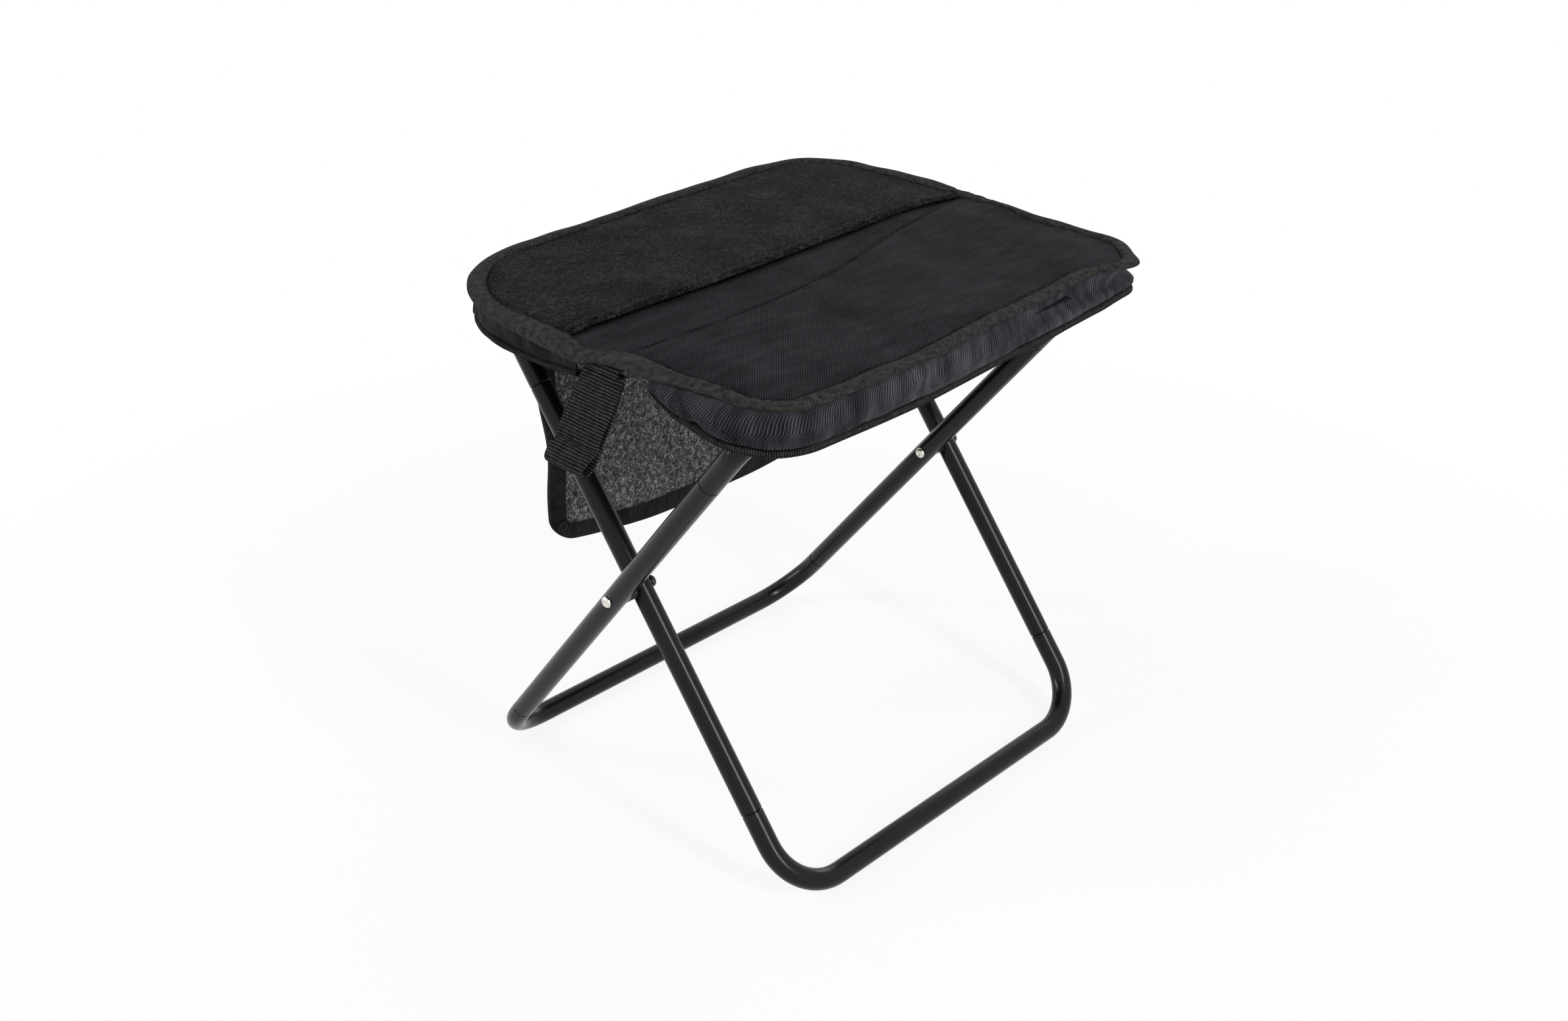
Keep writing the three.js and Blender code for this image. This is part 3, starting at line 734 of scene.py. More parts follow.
# Sections are (outward from the edge, height), going round from the inner edge on top.
FULL_RIM = mm((
    (-14.2, 400.8), (-13.7, 402.8), (-12, 403.8), (-8.5, 404.1), (-5.2, 403.4), (-2.4, 401.8),
    (-0.6, 399.2), (0, 396.4), (-0.7, 393.6), (-2.6, 391.8), (-5.5, 392.2), (-9.5, 395),
    (-13.2, 398.5),
))
FLAT_RIM = mm((
    (-14.4, 401.2), (-14, 403.1), (-12.6, 404.1), (-10.2, 404.1), (-7.6, 403.4), (-5.5, 402.5),
    (-4.2, 401.6), (-3.7, 400.9), (-4, 400.2), (-5.2, 399.9), (-7.5, 400.3), (-10.5, 400.6),
    (-13.4, 400.5),
))

# The tape's lower edge where it is rolled and where it lies flat, and the flat one's edges
ROLLED_LOW, FLAT_LOW = 0.3915, 0.4003
FLAT_INNER, FLAT_OUTER = 0.0144, 0.0037

# The band beside the crease and round the near corners: place along the edge, inner and
# outer edge of the tape, and the height of its lower edge
BANDS = {
    "left": mm((
        (-183, -14.2, -0.5, 400), (-120, -14.2, -0.5, 399.8), (-94, -14.2, -0.5, 399.2),
        (-80, -14.2, -0.3, 398.4), (-63, -14.2, 0, 397), (-41, -14.2, 0, 395.6),
        (-26, -14.6, 0, 394.4), (-12, -14.6, 0, 393.8), (-2, -14.5, 0, 393.8),
        (12, -14.5, 0, 395),
    )),
    "right": mm((
        (-5, -14, 0, 393), (0, -12, 0, 393), (15, -7, 0, 393.2), (22, -7, 0, 395),
        (27, -11, 0, 397), (33, -16, 0, 398.3), (41, -19.5, -0.4, 399.4), (50, -20, -0.8, 400.3),
        (66, -20, -1.2, 401), (80, -19.5, -2, 401), (90, -19.5, -4, 400.8),
        (96, -20, -7, 400.5), (106, -21, -8.5, 400.3), (119, -22.5, -10.5, 400.3),
        (132, -23, -12.5, 400.3), (150, -22.5, -12.5, 400.3), (165, -20, -10.5, 400.3),
        (182, -17, -8.5, 400.3), (196, -15.3, -6, 400.3), (212, -14.4, -4.2, 400.3),
        (233, -14.4, -3.7, 400.3),
    )),
}


def band_place(half, x, y):
    """Inner edge, outer edge and lower height of the tape."""
    if half == "left":
        along = x if y < 0 else -HALF_WIDTH
    else:
        along = x + y + HALF_LENGTH
    inner, outer, low = (read(BANDS[half], along, column) for column in (1, 2, 3))
    if y > 0:
        low = mix(ROLLED_LOW + GAP, low, smooth_step(abs(x + 0.02), 0.02, 0.06))
    return inner, outer, low


def stretched(section, inner, outer):
    """A section whose width runs from inner to outer."""
    low, high = section[:, 0].min(), section[:, 0].max()
    across = inner + (section[:, 0] - low) * (outer - inner) / (high - low)
    return np.column_stack((across, section[:, 1]))


def rim_shape(half, x, y):
    """A tape that turns from rolled, at the crease, to lying flat."""
    inner, outer, low = band_place(half, x, y)
    flat = np.clip((low - ROLLED_LOW) / (FLAT_LOW - ROLLED_LOW), 0, 1.1)
    return mix(stretched(FULL_RIM, inner, outer), stretched(FLAT_RIM, inner, outer), flat)


def rim_section(half, x, y):
    """A folded tape: a low ridge inside, with small puckers along its seam."""
    section = smooth_section(rim_shape(half, x, y))
    high = smooth_step(section[:, 1], 0.396, 0.403)
    inner = smooth_step(-section[:, 0], 0.006, 0.013)
    near_crease = bell(x - 0.004, 0.016) * (1 if y < 0 else 0.4)
    slow = 0.0010 * ripple(x, y, 0.032, 3.0)
    pucker = 0.0008 * ripple(x, y, 0.007, 5.0) * inner
    pinch = near_crease * (0.0009 * math.sin(x / 0.0021) - 0.0004)
    out = 0.0008 * ripple(x, y, 0.026, 9.0)
    section[:, 1] += (slow + pucker + pinch) * high
    section[:, 0] += out * smooth_step(section[:, 0], -0.012, -0.004)
    return section


# Outer faces of the wall: outward from the edge, and share of the way down
LEFT_WALL = (
    (-0.0030, 0.0), (-0.0034, 0.10), (-0.0038, 0.22), (-0.0040, 0.34), (-0.0041, 0.46),
    (-0.0042, 0.58), (-0.0043, 0.70), (-0.0045, 0.82), (-0.0049, 0.93), (-0.0058, 1.0),
)
FULL_WALL = (
    (-0.0046, 0.0), (-0.0029, 0.10), (-0.0016, 0.24), (-0.0008, 0.39), (-0.0005, 0.54),
    (-0.0006, 0.68), (-0.0009, 0.80), (-0.0013, 0.90), (-0.0020, 0.97), (-0.0030, 1.0),
)
SUNK_WALL = (
    (-0.0056, 0.0), (-0.0092, 0.09), (-0.0106, 0.26), (-0.0108, 0.44), (-0.0104, 0.57),
    (-0.0082, 0.66), (-0.0044, 0.72), (-0.0022, 0.82), (-0.0024, 0.93), (-0.0038, 1.0),
)
RIM_PAST = {"left": 0.0, "right": 0.0012}
WALL_PAST = {"left": 0.013, "right": 0.0}
WALL_TOP = {"left": 0.4002, "right": 0.4006}
TOP_SLIDE = (1, 0.72, 0.36, 0.12, *[0] * 6)
BINDING_HALF = {"left": 0.0017, "right": 0.0024}
BINDING_SPACE = 0.0012
BINDING_DEPTH = 0.0026
BINDING_INSET = {"left": 0.0062, "right": 0.0045}
WALL_THICKNESS = 0.0016
FAR_RISE = 0.019

# Where the wall ends beside the crease, as u, on the near and on the far side
WALL_STOPS = {"left": (-0.02, 0.034), "right": (0.079, -0.008)}

# How far the lower edge rises on the near side: x, rise
RISES = {
    "left": mm((
        (-183, 2.5), (-150, 3), (-118, 5), (-92, 7.2), (-71, 6.3), (-45, 6.7), (-30, 6.8),
        (-11, 8.1), (8, 9.9),
    )),
    "right": mm((
        (78, 23), (83, 19), (94, 13.2), (104, 9.6), (117, 7.2), (131, 5.2), (150, 2.8),
        (170, 0.5), (183, 0),
    )),
}

# Slanting creases of the right wall's near corner: x, height, slope, depth, width, end
CREASES = (
    (0.118, 0.3875, 1.4, 0.0034, 0.0038, 0.150),
    (0.150, 0.3850, 1.9, 0.0022, 0.0045, 0.172),
)


def lower_edge_rise(half, x, y):
    """How far the wall's lower edge rises towards the crease."""
    if y < -0.05:
        return read(RISES[half], x) * smooth_step(-y, 0.050, 0.130)
    return FAR_RISE * smooth_step(0.092 - abs(x), 0, 0.062) * smooth_step(y, 0.1, 0.15)


def binding_half(half, x, y):
    """Half the binding's height, which fades out towards the handle."""
    if half == "right" and y < -0.1:
        return mix(0.0009, BINDING_HALF[half], smooth_step(x, 0.084, 0.120))
    return BINDING_HALF[half]


def wall_section(half, x, y):
    """A thin wall with slack folds, tucked in above its binding.

    The right wall falls back under the band towards the far corner.
    """
    if half == "left":
        sunk = 0.0
        outer = np.array(LEFT_WALL)
    else:
        sunk = smooth_step(y, 0.010, 0.080)
        outer = mix(FULL_WALL, SUNK_WALL, sunk)
        outer[:, 0] += (band_place(half, x, y)[1] + FLAT_OUTER) * np.array(TOP_SLIDE)
    share = outer[:, 1].copy()
    top = WALL_TOP[half]
    low = BINDING_BOTTOM + 2 * binding_half(half, x, y) + BINDING_SPACE + lower_edge_rise(half, x, y)
    z = top + (min(low, top - 0.0008) - top) * share
    tall = smooth_step(top - low, 0.002, 0.010)
    free = smooth_step(share, 0.05, 0.4) * (1 - 0.6 * smooth_step(share, 0.8, 1.0)) * tall
    along = x - y
    slant = along + z * 1.3
    fold = 0.0032 * ripple(slant, along * 0.3, 0.017, 21.0, z * 0.6) * (1 - 0.6 * sunk)
    fine = 0.0007 * ripple(slant, 0, 0.006, 26.0, z)
    outer[:, 0] += (fold + fine) * free
    outer[:, 1] = z
    if half == "right" and y < -0.1:
        for start, height, slope, depth, width, end in CREASES:
            away = (z - height) * slope + (x - start)
            outer[:, 0] -= depth * bell(away, width) * smooth_step(end - x, 0, 0.02)
    tuck = outer[-1] - mm(((2.6, 1.2), (4.0, 3.5), (4.2, 6.2)))
    outer = np.vstack((outer, tuck))
    return np.vstack((outer, outer[::-1] - (WALL_THICKNESS, 0)))


def wall_path(half):
    """Where the wall and its binding run. Only the left's near side goes right to the crease."""
    path = outline(half, WALL_PAST[half])
    near, far = WALL_STOPS[half]
    return path[path[:, 0] > np.where(SIDE[half] * path[:, 1] < 0, near, far)]


def binding_section(half, x, y):
    """A rounded tape that is folded over the wall's lower edge, a little proud of it."""
    tall = binding_half(half, x, y)
    out = 0.0008 * ripple(x, y, 0.045, 55.0) - BINDING_INSET[half]
    level = BINDING_BOTTOM + tall + lower_edge_rise(half, x, y)
    level += 0.0004 * ripple(x, y, 0.05, 58.0)
    turns = full_turn(18)
    groove = 1 - 0.18 * bell(np.sin(turns), 0.28)
    return np.column_stack((out + BINDING_DEPTH * np.cos(turns) * groove, level + tall * np.sin(turns)))


def w_limits(half, u, inset):
    """How far the inside of the rim reaches along w at a given u."""
    limits = []
    for radius in CORNER_RADII[half]:
        r = radius - inset
        over = np.clip(u - (HALF_WIDTH - inset - r), 0, r)
        limits.append(HALF_LENGTH - inset - r + np.sqrt(np.maximum(r * r - over * over, 0)))
    return -limits[1], limits[0]


def cover_grid(half, inner_u, inset, rows, columns, follow=False):
    """A grid of (u, w) from an inner line, given as u at each w, to the rim.

    It may follow the inner edge of the right half's band on the near side.
    """
    outer = HALF_WIDTH - inset
    shares = np.linspace(0, 1, rows)
    shares = np.concatenate((np.linspace(0, 0.08, rows // 4, endpoint=False), 0.08 + 0.92 * shares))
    first, last = (inner_u(end) for end in (-0.195, 0.195))
    u_low = first + (outer - first) * shares
    low = w_limits(half, u_low, inset)[0]
    high = w_limits(half, last + (outer - last) * shares, inset)[1]
    if follow:
        edge = read(BANDS[half], u_low + np.maximum(low + HALF_LENGTH - inset, 0))
        low = low - (edge + FLAT_INNER)
    w = np.linspace(low, high, columns, axis=1)
    start = inner_u(w)
    u = start + (outer - start) * shares[:, None]
    return u, w


def closed_sheet(name, half, u, w, top, bottom, material, slot, *nodes, fill=None):
    """A closed piece of a half between a top and a bottom surface over the same grid."""
    upper, lower = (settle(plan_to_frame(half, u, w, z)) for z in (top, bottom))
    plan = plan_to_frame(half, u, w, 0.0)[..., :2]
    obj = layer_mesh(name, upper, lower, plan, material)
    seat_piece(obj, half, slot, *nodes, fill=fill)


def edge_distance(half, u, w, inset):
    """Distance inside the rim, roughly, at each point of a cover."""
    low, high = w_limits(half, u, inset)
    return np.minimum(np.minimum(high - w, w - low), HALF_WIDTH - inset - u)


def puckers(x, y, from_rim, seed):
    """Short gathers that run in from the seam beside the band."""
    near = np.exp(-from_rim / 0.009)
    turn = np.arctan2(y, x) * 0.19
    return near * ripple(turn, from_rim * 0.25, 0.0045, seed)


# How far the left pad's hem stands back from the crease: y, distance
HEM_BACK = mm((
    (-173, 9.5), (-150, 7), (-126, 5.8), (-102, 3), (-80, 2.2), (-52, 1), (0, 1), (48, 2),
    (102, 1.6), (136, 1), (156, -1.5), (171, -6), (190, -10.5), (212, -12),
))


def cover_left():
    """The left pad, whose inner edge is a folded hem that stands over the crease."""
    half, inset = "left", COVER_INSET
    u, w = cover_grid(half, lambda w: crease_u(half, w) + GAP + read(HEM_BACK, -w), inset, 150, 300)
    x, y = -u, -w
    from_rim = edge_distance(half, u, w, inset)
    from_hem = u - crease_u(half, w) - read(HEM_BACK, y)
    hem_width = 0.0095 + 0.002 * ripple(0.0, y, 0.09, 14.0)
    parts = (
        PAD_LEVEL,
        0.0016 * smooth_step(from_rim, 0, 0.03),
        0.0011 * ripple(x, y, 0.06, 5.0),
        0.0004 * ripple(x, y, 0.016, 12.0),
        0.0006 * puckers(x, y, from_rim, 17.0),
        0.0009 * smooth_step(from_hem, 0, 0.003) * smooth_step(hem_width - from_hem, -0.002, 0.002),
        -0.0011 * bell(from_hem - hem_width - 0.0005, 0.0007),
        -0.0018 * smooth_step(-from_hem, -0.0020, 0),
        -0.0006 * smooth_step(-from_hem, -0.03, 0),
        -0.0014 * bell(from_rim - 0.0032, 0.0016),
    )
    top = sum(parts)
    bottom = mix(top - 0.0016, PAD_BOTTOM, smooth_step(from_hem, 0.006, 0.02))
    looks = (CREPE, "creased_fabric")
    nodes = ("seat_pad_left", "crease_strip_left")
    closed_sheet("cover_left", half, u, w, top, bottom, *looks, *nodes, fill=PAD_FILL)


# Where the right pad's inner edge lies: y, x
SEAM = mm((
    (-212.5, 39.5), (-190, 39.3), (-176, 41.2), (-159, 42.5), (-118, 44), (-93, 43.4),
    (-73, 41.6), (-54, 40.8), (-31, 37.5), (-3, 32.9), (18, 27.5), (46, 20.5), (79, 11.2),
    (97, 6.2), (126, -0.3), (160, -5.5), (182.5, -7.8), (212.5, -8.2),
))


def cover_right():
    """The right pad, whose inner edge is folded and lies on the strip beside the crease."""
    half, inset = "right", COVER_INSET
    u, w = cover_grid(half, lambda w: read(SEAM, w), inset, 150, 300, follow=True)
    from_rim = np.minimum(edge_distance(half, u, w, inset), w - w[:, :1])
    from_seam = u - read(SEAM, w)
    parts = (
        PAD_LEVEL,
        0.0013 * smooth_step(from_rim, 0, 0.035),
        0.0016 * ripple(u, w, 0.055, 31.0),
        0.0013 * ripple(u * 0.6 + w * 0.5, w * 0.2 - u * 0.5, 0.020, 37.0),
        0.0010 * puckers(u, w, from_rim, 41.0),
        -0.0006 * smooth_step(-from_seam, -0.0010, 0),
        -0.0006 * smooth_step(-from_seam, -0.035, 0),
        -0.0016 * bell(from_seam - 0.0024, 0.0007),
        0.0020 * bell(u - 0.128 + 0.6 * (w + 0.190), 0.004) * bell(w + 0.180, 0.016),
        -0.0012 * bell(from_rim - 0.0032, 0.0016),
    )
    top = sum(parts)
    bottom = mix(top - 0.0010, PAD_BOTTOM, smooth_step(from_seam, 0.004, 0.02))
    looks = (TOP_CLOTH, "smooth_fabric")
    closed_sheet("cover_right", half, u, w, top, bottom, *looks, "seat_pad_right", fill=PAD_FILL)


def strip_right():
    """The strip that comes out from under the left hem and runs under the right pad."""
    half = "right"
    rows, columns = 40, 300
    far = HALF_LENGTH - 0.0115
    reach = np.linspace(-0.015, 0.045, rows)[:, None]
    near = HALF_LENGTH - 0.0045 - 0.009 * smooth_step(reach, 0.012, 0.030)
    w = -near + (far + near) * np.linspace(0, 1, columns)[None, :]
    hem = crease_u(half, w) - read(HEM_BACK, w)
    seam = read(SEAM, w)
    start, end = hem - 0.004, seam + 0.005
    u = start + (end - start) * np.linspace(0, 1, rows)[:, None]
    away = u - hem
    parts = (
        STRIP_LEVEL,
        0.0015 * smooth_step(away / (seam - hem), 0, 1.0),
        -0.0010 * smooth_step(-away, -0.006, 0.002),
        0.0005 * ripple(u, w, 0.035, 47.0),
        0.0003 * ripple(u, w * 0.4, 0.009, 49.0),
        -0.0012 * bell(u - seam + 0.0018, 0.0016),
    )
    top = sum(parts)
    looks = (TOP_CLOTH, "smooth_fabric")
    closed_sheet("crease_cloth_right", half, u, w, top, top - 0.0009, *looks, "crease_strip_right")


def base(half):
    """The cloth under the board, drawn taut, with a low bulge."""
    u, w = cover_grid(half, lambda w: crease_u(half, w) + 0.001, BASE_INSET, 40, 90)
    from_rim = edge_distance(half, u, w, BASE_INSET)
    bottom = BOARD_BOTTOM + 0.0008 + 0.0006 * smooth_step(-from_rim, -0.02, 0.0)
    bottom = bottom + 0.0002 * (1 + ripple(u, w, 0.03, 71.0))
    looks = (TOP_CLOTH, "board_plastic")
    name, node = f"base_cloth_{half}", f"seat_board_{half}"
    closed_sheet(name, half, u, w, PAD_BOTTOM - 0.0001, bottom, *looks, node)


def sleeve(half):
    """The loop of cloth round the top bar, with a flange sewn down on each side."""
    inner = TUBE_RADIUS + 0.0005
    outside = arc((0, 0), inner + 0.0014, 180 - 41, 360 + 41, 24)
    inside = arc((0, 0), inner, 360 + 62, 180 - 62, 24)
    left = [(-SLEEVE_FLANGE, 0.0076), (-SLEEVE_FLANGE, 0.0064)]
    right = [(SLEEVE_FLANGE, 0.0064), (SLEEVE_FLANGE, 0.0076)]
    section = np.array([*left, *outside, *right, *inside])
    rings = []
    for y in np.linspace(-0.105, 0.105, 60):
        puff = 1 + 0.02 * noise.noise(Vector((y / 0.02, 3.0 * SIDE[half], 0)))
        x = SIDE[half] * BAR_X + section[:, 0] * puff
        z = BAR_HEIGHT + np.where(section[:, 1] < 0, section[:, 1] * puff, section[:, 1])
        rings.append(np.column_stack((x, np.full(len(x), y), z)))
    obj = ring_mesh(f"sleeve_cloth_{half}", rings, TOP_CLOTH)
    dress(obj, f"seat_{half}", "smooth_fabric", f"bar_sleeve_{half}", sharp=60)


def seat():
    for half in ("left", "right"):
        rim, wall = outline(half, RIM_PAST[half]), wall_path(half)
        strips = (
            ("rim_tape", "rim_band", rim, rim_section, RIM_TAPE, "band_fabric", None),
            ("wall_cloth", "side_wall", wall, wall_section, WALL_CLOTH[half], "smooth_fabric", 70),
            ("edge_tape", "edge_binding", wall, binding_section, EDGE_TAPE, "band_fabric", None),
        )
        for name, node, path, section, material, slot, sharp in strips:
            obj = strip_mesh(f"{name}_{half}", half, path, section, material)
            seat_piece(obj, half, slot, f"{node}_{half}", sharp=sharp)
        base(half)
        sleeve(half)
    cover_left()
    cover_right()
    strip_right()


# Handle

# The webbing's outside as (across, down) from the sewn edge: down the front and up the back
WEB_LOOP = mm((
    (-2, -3), (-2.2, -10), (-2.7, -18), (-3.2, -26), (-3.5, -33), (-3.5, -36.5), (-3, -39.8),
    (-2.1, -43), (-1.9, -44.4), (-3.2, -46.2), (-5, -49), (-6, -53), (-6, -57),
    (-5, -60), (-2.8, -61.7), (-0.4, -62), (1.7, -61), (2.8, -58.8), (3, -55),
    (2.7, -49), (2.4, -42), (2.2, -33), (2.1, -22), (2, -11), (1.9, -3),
))

# The patch's route: y from the sewn edge, height
PATCH_PATH = mm((
    (6.2, 391.7), (4.8, 391.6), (3, 391.6), (0.9, 392.2), (0.2, 393.8), (0.8, 395.6),
    (2.2, 397.1), (4.2, 398.4),
))


def handle():
    """Webbing folded into a loop: two strands together at the top and a folded lower end."""
    top = arc((0, 0), WEBBING * 0.95, 0, 180, 8)
    outside = smooth_section(np.vstack((top, WEB_LOOP)), 2)
    steps = np.roll(outside, -1, axis=0) - np.roll(outside, 1, axis=0)
    steps /= np.linalg.norm(steps, axis=1)[:, None]
    inward = np.column_stack((-steps[:, 1], steps[:, 0]))
    depth = np.minimum(WEBBING * 0.9, np.abs(outside[:, 0]) * 0.86 + 0.0001)
    inner = outside + inward * depth[:, None]
    shares = np.linspace(-0.5, 0.5, 13)
    rings = []
    for p, q in zip(outside, inner):
        rings.append([(s, *p) for s in shares] + [(s, *q) for s in shares[::-1]])
    rings.append(rings[0])
    share, across, down = np.moveaxis(np.array(rings), -1, 0)
    corner = smooth_step(-down, 0.050, 0.062) * smooth_step(share, 0.1, 0.5)
    slack = smooth_step(across, 0, 0.002) * smooth_step(down, -0.014, 0.0)
    width = 0.965 * HANDLE_WIDTH * (1 - 0.16 * corner)
    x = HANDLE_CENTRE - 0.0023 + share * width - 0.0035 * slack
    cup = 0.0007 * (4 * share**2 - 0.4) * smooth_step(-down, 0.004, 0.02)
    wave = 0.0005 * ripple(share * 0.02, down, 0.013, 61.0) * smooth_step(-down, 0.004, 0.012)
    across = across + cup + wave
    y = HANDLE_PIN[0] + across * math.cos(HANDLE_LEAN) + down * math.sin(HANDLE_LEAN)
    z = HANDLE_PIN[1] - across * math.sin(HANDLE_LEAN) + down * math.cos(HANDLE_LEAN)
    obj = ring_mesh("handle_web", np.stack((x, y, z), axis=-1), WEB_TAPE, capped=False)
    dress(obj, "handle", "webbing", "handle_loop", sharp=60)


def anchor():
    """The patch that holds the handle: flat under the rim, and turned up behind the tape."""
    half = 0.42 * HANDLE_WIDTH
    thick = WEBBING / 2
    path = [(HANDLE_CENTRE - 0.005, HANDLE_PIN[0] + y, z) for y, z in PATCH_PATH]
    section = [(thick, s * half) for s in np.linspace(-1, 1, 9)]
    section += [(-thick, s * half) for s in np.linspace(1, -1, 9)]
    obj = ring_mesh("handle_patch", sweep(path, (1.0, 0.0, 0.0), section), WEB_TAPE)
    dress(obj, "seat_right", "webbing", "handle_anchor", sharp=60)


# Flap

# The seam tape's section: across, height
HEM_SECTION = mm((
    (-1.1, 380.4), (1.1, 380.4), (1.2, 381.9), (1.2, 391.4), (-1.2, 391.4), (-1.2, 381.9),
))


def flap_path(top):
    """The flap's edge as (y, z), down its near side and up its far side."""
    side, corner, shoulder = FLAP_HALF_WIDTH, FLAP_CORNER, FLAP_TOP - FLAP_SHOULDER
    far = [(y, FLAP_BOTTOM) for y in np.linspace(0.002, side - corner, 30, endpoint=False)]
    far += arc((side - corner, FLAP_BOTTOM + corner), corner, -90, 0, 12)
    far += [(side, z) for z in np.linspace(FLAP_BOTTOM + corner, shoulder, 26)[1:]]
    end = FLAP_TOP_HALF_WIDTH + (side - FLAP_TOP_HALF_WIDTH) * (FLAP_TOP - top) / FLAP_SHOULDER
    far += np.linspace((side, shoulder), (end, top), 5)[1:].tolist()
    return [(-y, z) for y, z in reversed(far)] + far


def hang(x, y, z):
    """How the flap hangs: it bows, and its near corner has drawn up and in."""
    down = np.clip((FLAP_TOP - z) / (FLAP_TOP - FLAP_BOTTOM), 0, 1)
    soft = smooth_step(down, 0, 1.0)
    bow = 0.0024 * ripple(y, z * 0.4, 0.11, 83.0) + 0.0007 * ripple(y, z, 0.03, 87.0)
    lift = np.where(y < 0, 0.87 * y**2, 0.40 * y**2) - 0.0020
    near = np.clip(-y / FLAP_HALF_WIDTH, 0, 1) ** 2
    waist = 0.0040 * bell(z - 0.250, 0.030) - 0.0022 * bell(z - 0.312, 0.024)
    moved = (x + soft * bow, y + near * (waist + 0.0012 * soft), z + down**2 * lift)
    return np.stack(moved, axis=-1)


def flap_sheet(name, top, thickness, x, material):
    """One closed layer of the flap, which ends inside the binding."""
    inset = FLAP_BINDING_WALL + 2 * GAP
    rows, columns = 60, 80
    z = np.linspace(FLAP_BOTTOM + inset, top, rows)[:, None] * np.ones((1, columns))
    corner = FLAP_CORNER - inset
    from_bottom = np.clip(z - FLAP_BOTTOM - inset, 0, corner)
    bow = np.sqrt(np.maximum(corner**2 - (corner - from_bottom) ** 2, 0))
    shoulder = np.clip((z - FLAP_TOP + FLAP_SHOULDER) / FLAP_SHOULDER, 0, 1)
    half = FLAP_HALF_WIDTH - inset - corner + bow
    half = half - (FLAP_HALF_WIDTH - FLAP_TOP_HALF_WIDTH) * shoulder
    y = half * np.linspace(-1, 1, columns)[None, :]
    front, back = (hang(x + face * thickness / 2, y, z) for face in (1, -1))
    return layer_mesh(name, front, back, np.stack((y, z), axis=-1), material)


def flap_binding():
    """The tape folded over the flap's edge. Its faces are (outward, depth below the face)."""
    wall = FLAP_BINDING_WALL
    outside = FLAP_THICKNESS / 2 + GAP + wall
    inside = -FLAP_THICKNESS / 2 - LINING_THICKNESS - 2 * GAP - wall
    tip = wall / 2 - FLAP_BINDING
    face = [(-FLAP_BINDING, wall / 3), (tip, 0), (-wall, 0), (-wall / 4, wall / 2)]
    section = [(x, outside - depth) for x, depth in face]
    section += [(0, (outside + inside) / 2)]
    section += [(x, inside + depth) for x, depth in reversed(face)]
    section += [(tip, inside + wall), (-wall, inside + wall)]
    section += [(-wall, outside - wall), (tip, outside - wall)]
    path = [(-FLAP_X, y, z) for y, z in flap_path(FLAP_TOP - 0.004)]
    x, y, z = np.moveaxis(np.array(sweep(path, (-1.0, 0.0, 0.0), section)), -1, 0)
    obj = ring_mesh("flap_tape", hang(x, y, z), FLAP_TAPE)
    dress(obj, "flap", "smooth_fabric", "flap_binding", sharp=60)
    return obj


def seam_tape():
    """The tape that the flap hangs from, sewn up under the left half."""
    rings = []
    for y in np.linspace(-0.130, 0.130, 40):
        shift = 0.0003 * noise.noise(Vector((y / 0.02, 9.0, 0)))
        rings.append([(-FLAP_X + x + shift, y, z) for x, z in HEM_SECTION])
    obj = ring_mesh("flap_hem", rings, TOP_CLOTH)
    dress(obj, "seat_left", "smooth_fabric", "flap_seam_tape", sharp=60)


def flap():
    """Two layers of cloth and their binding, whose flat size is the size before hanging."""
    panel = flap_sheet("flap_cloth", FLAP_TOP + 0.0012, FLAP_THICKNESS, -FLAP_X, TOP_CLOTH)
    dress(panel, "flap", "smooth_fabric", "flap_panel")
    lining_x = -FLAP_X + FLAP_THICKNESS / 2 + GAP + LINING_THICKNESS / 2
    lining = flap_sheet("flap_felt", FLAP_TOP - 0.006, LINING_THICKNESS, lining_x, FELT)
    dress(lining, "flap", "grey_lining", "flap_lining")
    binding = flap_binding()
    seam_tape()


# Stage

CAMERA_PLACE = (0.785975, -0.809376, 0.799653)
CAMERA_RIGHT = (0.71162268, 0.70255958, 0.00178765)
CAMERA_UP = (-0.32956257, 0.33156465, 0.88399853)
FOCAL_PIXELS = 2527.32
PHOTO_WIDTH = 2380
SENSOR_MM = 36

# Area lights: name, place, size, power in watts. All of them face LIT_PLACE.
LIGHTS = (
    ("overhead", (-0.4, 0.1, 1.9), (1.6, 1.6), 1.6),
    ("left", (-1.2, -1.4, 1.0), (0.2, 1.5), 25),
    ("right", (1.5, -0.1, 1.05), (0.2, 1.2), 21),
    ("back", (-0.6, 1.8, 1.1), (1.2, 0.8), 9),
)
LIT_PLACE = (0, 0, 0.25)
AMBIENT = 0.18
WHITE = (1, 1, 1, 1)
FLOOR_REACH = 6.0
FLOOR_COLOUR = (0.92, 0.92, 0.92)
FLOOR_FADE = (0.35, 0.9)
FLOOR_GLOW = 0.88


def camera():
    """The camera that was fitted to the photograph."""
    data = bpy.data.cameras.new("camera")
    data.sensor_width = SENSOR_MM
    data.lens = FOCAL_PIXELS / PHOTO_WIDTH * SENSOR_MM
    obj = bpy.data.objects.new("camera", data)
    axes = Matrix((CAMERA_RIGHT, CAMERA_UP, np.cross(CAMERA_RIGHT, CAMERA_UP))).transposed()
    obj.matrix_world = Matrix.Translation(Vector(CAMERA_PLACE) + Vector((0, ORIGIN_Y, 0))) @ axes.to_4x4()
    bpy.context.scene.collection.objects.link(obj)
    bpy.context.scene.camera = obj


def area_light(name, place, size, power):
    data = bpy.data.lights.new(name, "AREA")
    data.shape = "RECTANGLE"
    data.size, data.size_y = size
    data.energy = power
    obj = bpy.data.objects.new(name, data)
    obj.location = place
    obj.rotation_mode = "QUATERNION"
    obj.rotation_quaternion = (Vector(LIT_PLACE) - Vector(place)).to_track_quat("-Z", "Y")
    bpy.context.scene.collection.objects.link(obj)


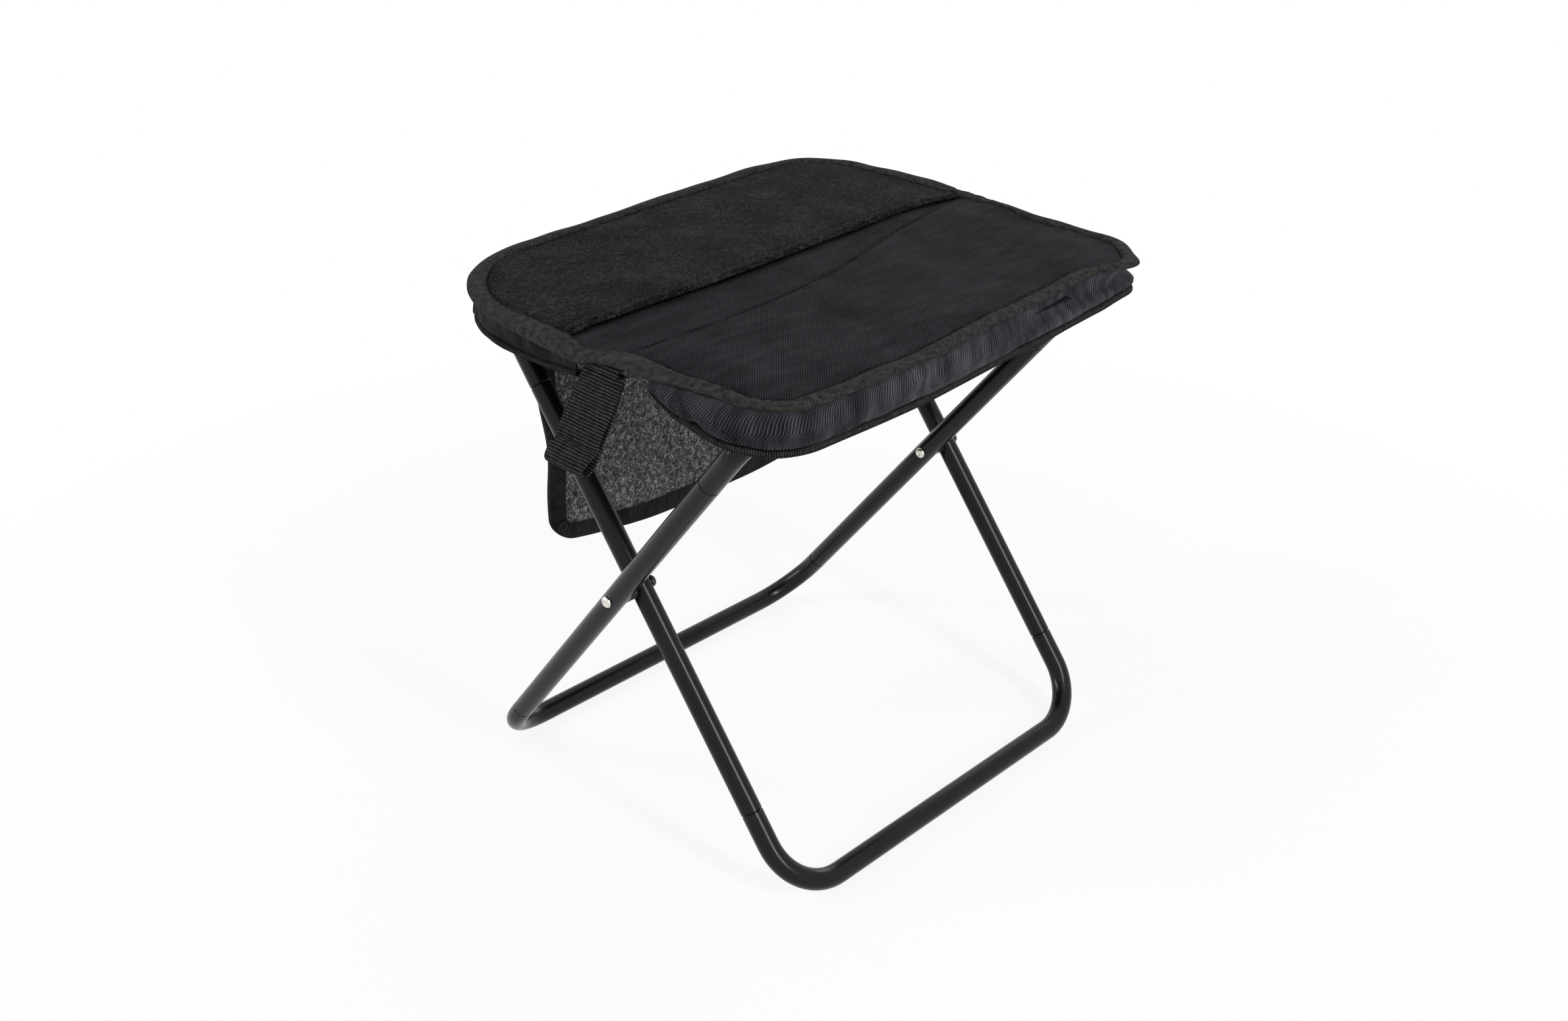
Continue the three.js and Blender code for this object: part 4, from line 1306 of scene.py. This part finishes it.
def background_rays(tree):
    """1 for the rays that see the background: from the camera, or by gloss or glass."""
    path = add_node(tree, "ShaderNodeLightPath")
    seen = path.outputs["Is Camera Ray"]
    for kind in ("Is Glossy Ray", "Is Transmission Ray"):
        inputs = {0: seen, 1: path.outputs[kind]}
        seen = add_node(tree, "ShaderNodeMath", inputs, operation="MAXIMUM").outputs[0]
    return seen


def show(tree, output, plain, bright, share):
    """Links the output to a mix of two shaders, of which the bright one has the given share."""
    inputs = {0: share, 1: plain.outputs[0], 2: bright.outputs[0]}
    mixed = add_node(tree, "ShaderNodeMixShader", inputs)
    tree.links.new(mixed.outputs[0], tree.nodes[output].inputs["Surface"])


def lights():
    """The lamps, an even dim light from all round, and a white background."""
    for row in LIGHTS:
        area_light(*row)
    world = bpy.data.worlds.new("studio")
    world.use_nodes = True
    bpy.context.scene.world = world
    tree = world.node_tree
    light = tree.nodes["Background"]
    light.inputs["Color"].default_value = WHITE
    light.inputs["Strength"].default_value = AMBIENT
    seen = add_node(tree, "ShaderNodeBackground", {"Color": WHITE})
    show(tree, "World Output", light, seen, background_rays(tree))


def floor():
    """A pale floor that fades into the white background and keeps the shadow."""
    square = ((-1, -1), (1, -1), (1, 1), (-1, 1))
    corners = [(x * FLOOR_REACH, y * FLOOR_REACH, 0) for x, y in square]
    s = Shader("pale_floor", FLOOR_COLOUR, 0.9)
    away = s.node("ShaderNodeVectorMath", {0: s.place("Object")}, operation="LENGTH")
    start, end = FLOOR_FADE
    inputs = {"Value": away.outputs["Value"], "From Min": start, "From Max": end, "To Min": FLOOR_GLOW}
    fade = s.node("ShaderNodeMapRange", inputs).outputs["Result"]
    glow = s.node("ShaderNodeEmission", {"Color": WHITE})
    share = s.math("MULTIPLY", fade, background_rays(s.tree))
    show(s.tree, "Material Output", s.surface, glow, share)
    add_mesh("floor", corners, [(0, 1, 2, 3)], s.material, smooth=False)


camera()
lights()
floor()
tube_frames()
seat()
handle()
anchor()
flap()

bpy.context.scene.view_settings.view_transform = "Standard"
